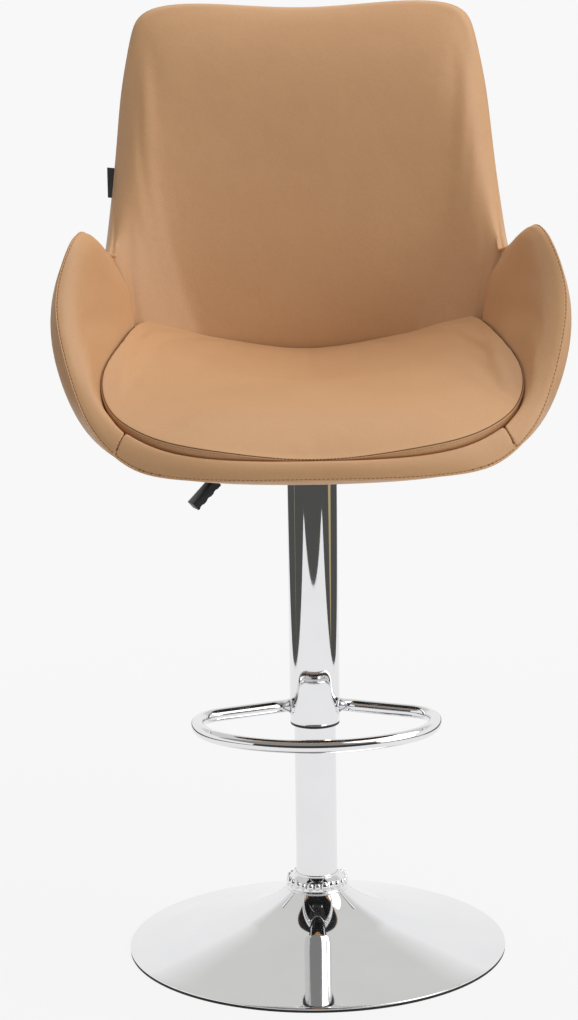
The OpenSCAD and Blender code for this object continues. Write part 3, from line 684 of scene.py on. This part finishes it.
# rim loops run from the front centre round the right side; 60 columns, row = columns from the front
outerRim = rimOf("outer_cover", "seat_shell")
shellRim = rimOf("seat_shell", "outer_cover")
rimCount = len(outerRim)
rowOf = [min(i, rimCount - i) for i in range(rimCount)]
shellTree = treeOfPoints(shellRim)
padEdge = [shellTree.find(p)[0].copy() for p in outerRim]
outerRim = lowered(outerRim)
seamLoop = fullLoop([a + (b - a) * seamShare(a, row) for a, b, row in zip(outerRim, padEdge, rowOf)])
outerLoop = fullLoop(outerRim)
print("rim:", rimCount, "columns")


def addLoop(bm, edges, near, gap):      # new loop across these edges, `gap` from their ends in `near`
    loop = []
    for edge in edges:
        start = edge.verts[0] if edge.verts[0] in near else edge.verts[1]
        share = min(gap / edge.calc_length(), 0.6)
        loop.append(bmesh.utils.edge_split(edge, start, share)[1])
    bmesh.ops.connect_verts(bm, verts=loop)
    return loop


def straightOn(vert, edge):     # walks from a vertex along an edge and on across the quads
    path = [vert]
    while edge:
        vert = edge.other_vert(vert)
        path.append(vert)
        ahead = [e for e in vert.link_edges if e is not edge
                 and not set(e.link_faces) & set(edge.link_faces)]
        edge = ahead[0] if len(ahead) == 1 and len(vert.link_edges) == 4 else None
    return path


def layersFrom(start):      # how many edges each vertex is from the starting ones
    far = {v: 0 for v in start}
    edge = list(start)
    while edge:
        edge = [v for v in {e.other_vert(u) for u in edge for e in u.link_edges} if v not in far]
        nextLayer = 1 + max(far.values())
        for v in edge:
            far[v] = nextLayer
    return far


def finishSoft(piece, body, slot, material, fill, *replaced):
    addPiece(piece, body, slot, material, *replaced)
    return piece


def makeOuterLeather():         # one leather skin round the outside, folded over the rim into its seam
    bm = mergedCopy("outer_cover")
    crease = creaseLayer(bm)
    bmesh.ops.delete(bm, geom=list(touching(bm, vertexTree("seat_shell"))), context="VERTS")
    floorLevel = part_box("outer_cover")[0][2]
    centre = [v for v in bm.verts if v.co.z < floorLevel + 0.0005
              and v.co.xy.length < upholstery["floorOpening"]]
    bmesh.ops.delete(bm, geom=centre, context="VERTS")
    joinQuads(bm, bm.faces)
    borders = [e for e in bm.edges if e.is_boundary]
    low = [e for e in borders if e.verts[0].co.z < floorLevel + 0.001]
    bmesh.ops.contextual_create(bm, geom=low)
    outerTree = treeOfPoints(outerRim)
    rimEdges = [e for e in bm.edges if e.is_boundary]
    column = {v: outerTree.find(v.co)[1] for e in rimEdges for v in e.verts}
    for v, i in column.items():
        v.co = outerLoop[i]
    rim = set(column)
    down = {column[v]: min((e for e in v.link_edges if e.other_vert(v) not in rim),
                           key=lambda e: e.other_vert(v).co.z) for v in rim}
    fall = {i: (e.other_vert(v).co - v.co).normalized() for v, i in column.items() for e in [down[i]]}
    fold = addLoop(bm, list(down.values()), rim, upholstery["seamFold"])
    half, depth = upholstery["backSeam"]
    foldCrease, seamCrease, backCrease = upholstery["creases"]
    for start in [v for v in rim if rowOf[column[v]] == upholstery["notchRow"]]:
        path = straightOn(start, next(e for e in start.link_edges if e.other_vert(start) in fold))
        line = set(path)
        addLoop(bm, [e for v in path[:-1] for e in v.link_edges if e.other_vert(v) not in line], line, half)
        bm.normal_update()
        for v in path[1:-1]:
            v.co -= v.normal * depth
        for v, w in zip(path, path[1:]):
            bm.edges.get((v, w))[crease] = backCrease
    middle = [(a + b) / 2 - fall[i] * min(upholstery["bandRise"], 0.2 * (b - a).length)
              for i, (a, b) in enumerate(zip(outerLoop, seamLoop))]
    slot = [b + (c - b).normalized() * upholstery["slotDepth"] for b, c in zip(seamLoop, padEdge)]
    loops = [rim]
    places = outerLoop
    for target in (middle, seamLoop, slot):     # over the band, to the seam, and into its slot
        made = bmesh.ops.extrude_edge_only(bm, edges=[e for e in bm.edges if e.is_boundary])["geom"]
        fresh = {v for v in made if isinstance(v, bmesh.types.BMVert)}
        tree = treeOfPoints(places)
        for v in fresh:
            i = tree.find(v.co)[1]
            v.co += target[i] - places[i]
        places = target
        loops.append(fresh)
    for loop, sharpness in ((loops[0], foldCrease), (loops[2], seamCrease)):
        for e in bm.edges:
            if e.verts[0] in loop and e.verts[1] in loop:
                e[crease] = sharpness
    bmesh.ops.recalc_face_normals(bm, faces=bm.faces)
    piece = meshObject(bm, "outer_leather")
    skin = piece.modifiers.new("skin", "SOLIDIFY")
    skin.thickness = upholstery["thickness"]
    skin.offset = -1
    addSubdivision(piece, 2)
    settle(piece)
    finishSoft(piece, "seat", "tan_cover", leather, 1, "outer_cover", "seat_shell")
    return fall


wallDown = makeOuterLeather()
print("outer leather folded over the rim")


armPad = {
    "neighbours": ("back_pad", "front_rail_pad"), "rise": 0.005, "sink": (-0.001, 0.0008),
    "hold": 0.003, "puff": 0.005, "edge": 0.016, "fill": 0.8, "even": 6, "evenAfter": 3,
}
# rise: of the roll over the rim, sink: of the skin at each end, hold and edge: how far from the ends and from
# the rim a loop is added, even and evenAfter: rounds of smoothing before and after the filling
pads = {
    "back_pad": {
        "neighbours": ("arm_pad_right", "arm_pad_left"), "rise": 0.006, "sink": (0.006, 0.006),
        "hold": 0.016, "puff": 0.006, "edge": 0.030, "fill": 0.85, "even": 24, "evenAfter": 12,
        "evenLow": (60, 0.93),  # more rounds below this height
    },
    "arm_pad_right": armPad,
    "arm_pad_left": armPad,
    "front_rail_pad": {
        "neighbours": ("arm_pad_right", "arm_pad_left"), "rise": 0.004, "sink": (0.0004, 0.0004),
        "hold": 0.003, "puff": 0.002, "edge": 0.008, "fill": 0.9, "even": 0, "evenAfter": 0,
    },
}
cloth = {"frames": 20, "pressure": 4, "quality": 5}
# how the pads' faces move where arm and back meet, by row below the rim: out, back and up, in metres
notchShape = ((0.015, 0.003, -0.006), (-0.006, 0, -0.003), (-0.005, 0, 0), (-0.003, 0, 0))
notchFade = (1, 0.5, 0.15)      # by column from the notch


def swell(piece, puff):         # the leather swells off its held edge, at most `puff` metres
    before = [v.co.copy() for v in piece.data.vertices]
    modifier = piece.modifiers.new("cloth", "CLOTH")
    settings = modifier.settings
    settings.quality = cloth["quality"]
    settings.use_pressure = True
    settings.uniform_pressure_force = cloth["pressure"]
    settings.effector_weights.gravity = 0
    settings.vertex_group_mass = "held"
    modifier.point_cache.frame_start = 1
    modifier.point_cache.frame_end = cloth["frames"]
    scene = bpy.context.scene
    for step in range(1, cloth["frames"] + 1):
        scene.frame_set(step)
    settle(piece)
    for v, start in zip(piece.data.vertices, before):
        move = v.co - start
        if move.length > 1e-7:
            v.co = start + move.normalized() * puff * math.tanh(move.length / puff)
    scene.frame_set(1)


def smoothed(piece, levels):
    addSubdivision(piece, levels)
    settle(piece)


def evenOut(piece, rounds, below=math.inf):     # smooths what isn't held, under this height
    if not rounds:
        return
    bm = bmesh.new()
    bm.from_mesh(piece.data)
    group = bm.verts.layers.deform.active
    free = [v for v in bm.verts if v[group].get(0, 0) < 0.3 and v.co.z < below]
    for i in range(rounds):
        bmesh.ops.smooth_vert(bm, verts=free, factor=0.5, use_axis_x=True, use_axis_y=True, use_axis_z=True)
    bm.to_mesh(piece.data)
    bm.free()


def makePad(node):
    look = pads[node]
    bm = quadCopy(node)
    crease, group = creaseLayer(bm), bm.verts.layers.deform.verify()
    hidden = touching(bm, vertexTree("seat_shell"))
    rimTree = treeOfPoints(padEdge)
    shellSide = {v: rimTree.find(v.co)[1] for v in hidden if rimTree.find(v.co)[2] < 1e-4}
    inward = {e.other_vert(v) for v in shellSide for e in v.link_edges} - hidden
    rim = set(shellSide) | inward
    rimCross = [e for e in bm.edges if (e.verts[0] in shellSide) != (e.verts[1] in shellSide)
                and e.verts[0] in rim and e.verts[1] in rim]
    ends = [touching(bm, vertexTree(n)) for n in look["neighbours"]]
    if node.startswith("arm"):  # the rail is lower than the arm, so this end is found from the other one
        far = layersFrom(ends[0])
        last = max(far.values())
        ends[1] = {v for v in far if far[v] == last}
    rows = layersFrom(rim)
    if node != "front_rail_pad":
        for end in ends if node == "back_pad" else ends[:1]:
            column = layersFrom(end)
            for v in bm.verts:
                if v not in hidden and rows[v] < len(notchShape) and column[v] < len(notchFade):
                    out, back, up = notchShape[rows[v]]
                    side = 1 if v.co.x > 0 else -1
                    v.co += Vector((out * side, back, up)) * notchFade[column[v]]
    sides = [e for e in bm.edges if {rows[e.verts[0]], rows[e.verts[1]]} == {0, 1}]
    for v, i in shellSide.items():
        v.co = seamLoop[i]
    held = set(hidden)
    new = addLoop(bm, sides, rim, look["edge"])
    held |= {v for v in new if any(e.other_vert(v) in hidden for e in v.link_edges)
             and all(e.other_vert(v) in hidden or e.other_vert(v) in new for e in v.link_edges)}
    mids = addLoop(bm, rimCross, set(shellSide), 1)     # top of the roll over the rim
    seamTree = treeOfPoints(seamLoop)
    for v in mids:
        i = seamTree.find(v.co)[1]
        pair = [e.other_vert(v) for e in v.link_edges if e.other_vert(v) in rim]
        v.co = (pair[0].co + pair[1].co) / 2 - wallDown[i] * look["rise"]
    for e in bm.edges:
        if e.verts[0] in shellSide and e.verts[1] in shellSide:
            e[crease] = 1
    for end, sink in zip(ends, look["sink"]):
        endAll = set(end)
        endAll |= {v for v in new + mids if sum(e.other_vert(v) in end for e in v.link_edges) >= 2}
        across = [e for e in bm.edges if (e.verts[0] in endAll) != (e.verts[1] in endAll)]
        loop = addLoop(bm, across, endAll, look["hold"])
        held |= {v for v in loop if any(e.other_vert(v) in held and e.other_vert(v) not in endAll
                                        for e in v.link_edges)
                 and not any(e.other_vert(v) not in held and e.other_vert(v) not in loop
                             and e.other_vert(v) not in endAll for e in v.link_edges)}
        bm.normal_update()
        for v in endAll - held - set(shellSide):
            skinNormal = sum((f.normal for f in v.link_faces
                              if not all(u in endAll for u in f.verts)), Vector()).normalized()
            v.co -= skinNormal * sink
        held |= endAll
    bmesh.ops.recalc_face_normals(bm, faces=bm.faces)
    for v in held:
        v[group][0] = 1
    piece = meshObject(bm, node + "_leather")
    piece.vertex_groups.new(name="held")
    smoothed(piece, 2)
    evenOut(piece, look["even"])
    evenOut(piece, *look.get("evenLow", (0,)))
    swell(piece, look["puff"])
    evenOut(piece, look["evenAfter"])
    smoothed(piece, 1)
    finishSoft(piece, "seat", "tan_padding", leather, look["fill"], node)
    return piece


softPieces = {node: makePad(node) for node in pads}
print("wall pads filled:", sum(len(p.data.polygons) for p in softPieces.values()), "faces")


cushion = {                     # lengths in metres
    "lowered": 0.004,           # start of the swelling below the finished top
    "puff": 0.0075,
    "fill": 0.8,
    "seamRing": 7,              # rings from the top's middle to its welted edge
    "seamCrease": 0.8,
    "middle": -0.04,            # Y of the point that its edge is sorted round
    "frontFrom": -0.06,         # the front's roll starts here
    "frontDrop": (0, 0, 0.0005, 0.0025, 0.006, 0.011, 0.015, 0.0075),     # by ring, at the front's middle
    "frontReach": 0.17,         # to each side
    "cornerRise": 0.003,
    "cornerReach": 0.22,
    "sideGap": 0.003,           # shadow line between the cushion's edge and the arms
    "sideFrom": 0.1,            # X from which it opens
    "sideBack": 0.16,           # Y where it ends
}


def makeCushion():
    bm = mergedCopy("seat_cushion")
    crease, group = creaseLayer(bm), bm.verts.layers.deform.verify()
    poles = [v for v in bm.verts if len(v.link_edges) > 20]
    joinQuads(bm, [f for f in bm.faces if not any(v in poles for v in f.verts)])
    ring = layersFrom([max(poles, key=lambda v: v.co.z)])
    seamRing, drops = cushion["seamRing"], cushion["frontDrop"]
    inner = [v for v in bm.verts if ring[v] < seamRing]
    for i in range(2):
        bmesh.ops.smooth_vert(bm, verts=inner, factor=0.5, use_axis_x=True, use_axis_y=True, use_axis_z=True)
    for v in inner:
        v.co.z -= cushion["lowered"] * (1 - ring[v] / seamRing) ** 0.5
    for v in bm.verts:
        if v.co.y < cushion["frontFrom"] and ring[v] < len(drops):
            side = min(1, abs(v.co.x) / cushion["frontReach"])
            v.co.z -= drops[ring[v]] * (0.5 + 0.5 * math.cos(math.pi * side))
            if ring[v] == seamRing:
                corner = min(1, abs(v.co.x) / cushion["cornerReach"])
                v.co.z += cushion["cornerRise"] * math.sin(math.pi * corner) ** 2
        if ring[v] >= seamRing - 1 and v.co.y < cushion["sideBack"]:
            share = min(1, max(0, abs(v.co.x) / cushion["sideFrom"] - 1))
            v.co.x -= math.copysign(cushion["sideGap"] * share, v.co.x)
    for e in bm.edges:
        if ring[e.verts[0]] == ring[e.verts[1]] == seamRing:
            e[crease] = cushion["seamCrease"]
    for v in bm.verts:
        if ring[v] >= seamRing:
            v[group][0] = 1
    seam, foot = (sorted((v.co.copy() for v in bm.verts if ring[v] == level),
                         key=lambda p: math.atan2(p.x, cushion["middle"] - p.y))
                  for level in (seamRing, seamRing + 1))
    piece = meshObject(bm, "seat_cushion_leather")
    piece.vertex_groups.new(name="held")
    smoothed(piece, 2)
    swell(piece, cushion["puff"])
    smoothed(piece, 1)
    finishSoft(piece, "seat", "tan_padding", leather, cushion["fill"], "seat_cushion")
    return piece, seam, foot


seatCushion, cushionSeam, cushionFoot = makeCushion()
print("cushion filled:", len(seatCushion.data.polygons), "faces")


sewing = {                      # lengths in metres; a stitch is half length, half width, half height
    "rimPitch": 0.005,          # from stitch to stitch
    "rimStitch": (0.0018, 0.00065, 0.0005),
    "rimInset": 0.0002,         # from the seam, on the pad's side
    "rimLift": 0.0004,
    "rimSunk": 0.0003,
    "rimColumns": 17,           # the stitches run this far round from the front's middle
    "cornerRow": 6,             # columns from the front to the seam between rail and arm
    "cornerSpots": (0.1, 0.4, 0.7, 1, 1.25),    # along it, as shares of the next two values
    "cornerLength": 0.019,
    "cornerRise": 0.006,
    "cornerSunk": 0.0004,
    "topPitch": 0.004,
    "topStitch": (0.0011, 0.0005, 0.0004),
    "topUntil": 0.03,           # Y where the cushion's pale stitches end
    "seamUntil": 0.07,          # and its edge's dark cord, the seam's thread and painted shade of the crease
    "sunkShare": 0.35,          # of the thread's radius
    "seamPipes": {              # radius, and how far under the edge
        # dark cord in the edge's crease: the seam's thread, and painted shade of the crease
        "cushion_seam_thread_and_shade": (0.0007, 0),
        "cushion_seam_lip": (0.0010, 0.0016),
    },
}


def curvePoints(points, closed=True, steps=6):      # uniform cubic spline of the control points
    count = len(points)
    result = []
    for i in range(count if closed else count - 1):
        a, b, c, d = (points[(i + k) % count] if closed else points[min(max(i + k, 0), count - 1)]
                      for k in (-1, 0, 1, 2))
        for s in range(steps):
            t = s / steps
            result.append((a * (1 - t) ** 3 + b * (3 * t ** 3 - 6 * t * t + 4)
                           + c * (-3 * t ** 3 + 3 * t * t + 3 * t + 1) + d * t ** 3) / 6)
    return result


def spaced(points, pitch):      # evenly spaced places along a line of points, with its direction there
    places = []
    ahead = pitch / 2
    for a, b in zip(points, points[1:]):
        length = (b - a).length
        while ahead < length:
            places.append((a.lerp(b, ahead / length), (b - a).normalized()))
            ahead += pitch
        ahead -= length
    return places


def sewOn(bm, trees, place, along, size, lift=0.0002):
    near = min((tree.find_nearest(place) for tree in trees), key=lambda hit: hit[3])
    up = near[1]
    side = up.cross(along).normalized()
    frameOf = Matrix((side.cross(up), side, up)).transposed().to_4x4()
    stitch = bmesh.ops.create_uvsphere(bm, u_segments=6, v_segments=4, radius=1)["verts"]
    bmesh.ops.scale(bm, verts=stitch, vec=size)
    bmesh.ops.transform(bm, verts=stitch, matrix=Matrix.Translation(near[0] + up * lift) @ frameOf)


def pipeAlong(name, hits, radius, material):    # a round thread laid on a surface's points
    curve = bpy.data.curves.new(name, "CURVE")
    curve.dimensions = "3D"
    curve.bevel_depth = radius
    curve.bevel_resolution = 2
    spline = curve.splines.new("POLY")
    spline.points.add(len(hits) - 1)
    for point, (place, normal, face, distance) in zip(spline.points, hits):
        point.co = (*(place - normal * radius * sewing["sunkShare"]), 1)
    curve.use_fill_caps = True
    line = bpy.data.objects.new(name, curve)
    bpy.context.scene.collection.objects.link(line)
    mesh = bpy.data.meshes.new_from_object(line.evaluated_get(bpy.context.evaluated_depsgraph_get()))
    bpy.data.objects.remove(line)
    piece = bpy.data.objects.new(name, mesh)
    bpy.context.scene.collection.objects.link(piece)
    for polygon in mesh.polygons:
        polygon.use_smooth = True
    addPiece(piece, "seat", "tan_padding", material)


def makeStitches():
    padTrees = [treeOf(piece) for piece in softPieces.values()]
    lifted = [s + (p - s).normalized() * sewing["rimInset"] - wallDown[i] * sewing["rimLift"]
              for i, (p, s) in enumerate(zip(padEdge, seamLoop))]
    columns = sewing["rimColumns"]
    around = [lifted[i % rimCount] for i in range(-columns, columns + 1)]
    bm = bmesh.new()
    for place, along in spaced(curvePoints(around, closed=False), sewing["rimPitch"]):
        sewOn(bm, padTrees, place, along, sewing["rimStitch"], -sewing["rimSunk"])
    for i in (sewing["cornerRow"], rimCount - sewing["cornerRow"]):     # across the rim at the corners
        toInner = (padEdge[i] - outerRim[i]).normalized() * sewing["cornerLength"]
        rise = wallDown[i] * sewing["cornerRise"]
        line = [seamLoop[i] + toInner * t - rise * math.sin(math.pi * min(1, t))
                for t in sewing["cornerSpots"]]
        for place, along in spaced(line, sewing["rimPitch"]):
            sewOn(bm, padTrees, place, along, sewing["rimStitch"], -sewing["cornerSunk"])
    addPiece(meshObject(bm, "rim_stitches"), "seat", "tan_padding", finish["sewingThread"])

    tree = treeOf(seatCushion)
    edge = curvePoints(cushionSeam)
    edge.append(edge[0])
    low = curvePoints([a.lerp(b, 0.5) for a, b in zip(cushionSeam, cushionFoot)])
    bm = bmesh.new()
    for place, along in spaced(low + [low[0]], sewing["topPitch"]):
        if place.y < sewing["topUntil"]:
            sewOn(bm, [tree], place, along, sewing["topStitch"])
    addPiece(meshObject(bm, "cushion_topstitch"), "seat", "tan_padding", finish["paleThread"])
    for (name, (radius, under)), material in zip(sewing["seamPipes"].items(),
                                                 (finish["sewingThread"], leather)):
        hits = [tree.find_nearest(p - Vector((0, 0, under))) for p in edge if p.y < sewing["seamUntil"]]
        pipeAlong(name, hits, radius, material)


makeStitches()
print("stitches and seams sewn")


grip = {"round": 0.0022, "segments": 3}         # softened edges, metres


def makeGrip():                 # moulded grip of the lever
    bm = mergedCopy("lever_grip")
    bmesh.ops.dissolve_limit(bm, angle_limit=math.radians(1), verts=bm.verts, edges=bm.edges)
    sharp = [e for e in bm.edges if e.calc_face_angle(0) > math.radians(35)]
    bmesh.ops.bevel(bm, geom=sharp, offset=grip["round"], segments=grip["segments"], profile=0.5,
                    affect="EDGES", material=-1, clamp_overlap=True)
    addPiece(meshObject(bm, "moulded_grip"), "lever", "black_plastic", finish["mouldedPlastic"], "lever_grip")


sideTape = {
    "taper": 0.55,              # width of the folded tape's lower end against its upper end
    "curl": 0.0012,             # metres
    "round": 0.0005,
    "cuts": (-0.66, -0.33, 0, 0.33, 0.66),      # rows across it, as shares of its half length
    "edges": (0.005, 0.02),     # its width lies between these and its length above the second, metres
}


def makeTab():                  # folded woven tape, narrower at its free end and bare
    bm = mergedCopy("side_tab")
    bmesh.ops.dissolve_limit(bm, angle_limit=math.radians(1), verts=bm.verts, edges=bm.edges)
    corners = [v.co.copy() for v in bm.verts]
    least, most = sideTape["edges"]
    long = next(e for e in bm.edges if e.calc_length() > most)
    run = (long.verts[0].co - long.verts[1].co).normalized()
    run *= 1 if run.z > 0 else -1
    wide = next(e for e in bm.edges if least < e.calc_length() < most)
    across = (wide.verts[0].co - wide.verts[1].co).normalized()
    across *= 1 if across.x > 0 else -1
    middle = sum(corners, Vector()) / len(corners)
    half = max((c - middle).dot(run) for c in corners)
    inner = max((c - middle).dot(across) for c in corners)
    flat = run.cross(across)
    bmesh.ops.bevel(bm, geom=bm.edges[:], offset=sideTape["round"], segments=2, profile=0.5,
                    affect="EDGES", material=-1, clamp_overlap=True)
    for share in sideTape["cuts"]:
        bmesh.ops.bisect_plane(bm, geom=bm.verts[:] + bm.edges[:] + bm.faces[:],
                               plane_co=middle + run * half * share, plane_no=run)
    for v in bm.verts:
        drop = 0.5 - (v.co - middle).dot(run) / half / 2        # 0 at the top, 1 at the free end
        reach = inner - (v.co - middle).dot(across)             # from the edge that is sewn in
        v.co += across * reach * (1 - sideTape["taper"]) * drop
        v.co += flat * sideTape["curl"] * math.sin(math.pi * drop)
    addPiece(meshObject(bm, "woven_tape"), "seat", "woven_tab", tape, "side_tab")


welds = {                       # lengths in metres
    "bead": 0.0017,
    "out": 0.0002,              # past the bar's own radius
    "steps": (12, 40),          # round the bead's section and round the bar
    "sunk": 0.985,              # the ring's middle as a share of the sleeve's radius
    "ripples": (9, 0.03, 0.008),    # number round the bar, their height and the random part
    "nearWall": 0.0008,
    "fresh": (0.03, 0.01),      # a new ring lies within this radius and height of the origin
    "seed": 11,
}


def makeWelds():                # beads where the footrest's bars meet the sleeve
    bars = mergedCopy("footrest_ring")
    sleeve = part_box("sleeve_tube")[1][0]
    number, height, stray = welds["ripples"]
    section, turns = welds["steps"]
    radius, level = welds["fresh"]
    bm = bmesh.new()
    for side in (-1, 1):
        end = [v.co for v in bars.verts if v.co.x * side > 0 and v.co.xy.length < sleeve + welds["nearWall"]]
        low, high = (Vector([pick(c[k] for c in end) for k in range(3)]) for pick in (min, max))
        middle = (low + high) / 2
        bead = bmesh.ops.create_circle(bm, segments=section, radius=welds["bead"],
                                       matrix=Matrix.Translation(((high.z - low.z) / 2 + welds["out"], 0, 0))
                                       @ Matrix.Rotation(math.pi / 2, 4, "X"))["verts"]
        bmesh.ops.spin(bm, geom=list({e for v in bead for e in v.link_edges}) + bead, cent=(0, 0, 0),
                       axis=(0, 0, 1), angle=2 * math.pi, steps=turns, use_merge=True)
        ring = {v for v in bm.verts if v.co.xy.length < radius and abs(v.co.z) < level}
        outward = Vector((middle.x, middle.y, 0)).normalized()
        random.seed(welds["seed"] + side)
        for v in ring:
            v.co *= 1 + height * math.sin(number * math.atan2(v.co.y, v.co.x)) + random.uniform(-stray, stray)
        place = Matrix.Translation(outward * sleeve * welds["sunk"] + Vector((0, 0, middle.z)))
        facing = outward.to_track_quat("Z", "Y").to_matrix().to_4x4()
        bmesh.ops.transform(bm, verts=list(ring), matrix=place @ facing)
    bars.free()
    bmesh.ops.remove_doubles(bm, verts=bm.verts, dist=1e-6)
    bmesh.ops.recalc_face_normals(bm, faces=bm.faces)
    piece = meshObject(bm, "weld_beads")
    addSubdivision(piece, 1)
    addPiece(piece, "seat", "chrome_plate", finish["chromePlate"])


underCloth = {                  # lengths in metres
    "staplePitch": 0.028,
    "staple": (0.0048, 0.0006, 0.0005),
    "stapleInset": 0.008,
    "stapleUnder": 0.004,
    "edgeAbove": 0.002,
}


def makeBottomCloth():          # stretched under the seat and stapled round its edge
    bm = mergedCopy("bottom_cloth")
    underside = touching(bm, vertexTree("outer_cover"))
    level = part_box("outer_cover")[0][2] + underCloth["edgeAbove"]
    edge = {u.co.copy().freeze() for u in underside for e in u.link_edges
            if e.other_vert(u) not in underside and u.co.z > level}
    edge = sorted(edge, key=lambda p: math.atan2(p.x, -p.y))
    area = sum(f.calc_area() for f in bm.faces) / 2
    piece = meshObject(bm, "stretched_cloth")
    addPiece(piece, "seat", "black_cloth", finish["needledCloth"], "bottom_cloth")
    tree = treeOf(piece)
    bm = bmesh.new()
    line = [Vector(p) - Vector((p.x, p.y, 0)).normalized() * underCloth["stapleInset"] for p in edge]
    under = Vector((0, 0, underCloth["stapleUnder"]))
    for place, along in spaced(line + [line[0]], underCloth["staplePitch"]):
        sewOn(bm, [tree], place - under, along, underCloth["staple"])
    staples = addPiece(meshObject(bm, "cloth_staples"), "seat", "plain_steel", finish["zincPlate"])


makeGrip()
makeTab()
makeWelds()
makeBottomCloth()
print("grip, tape, welds and bottom cloth made")
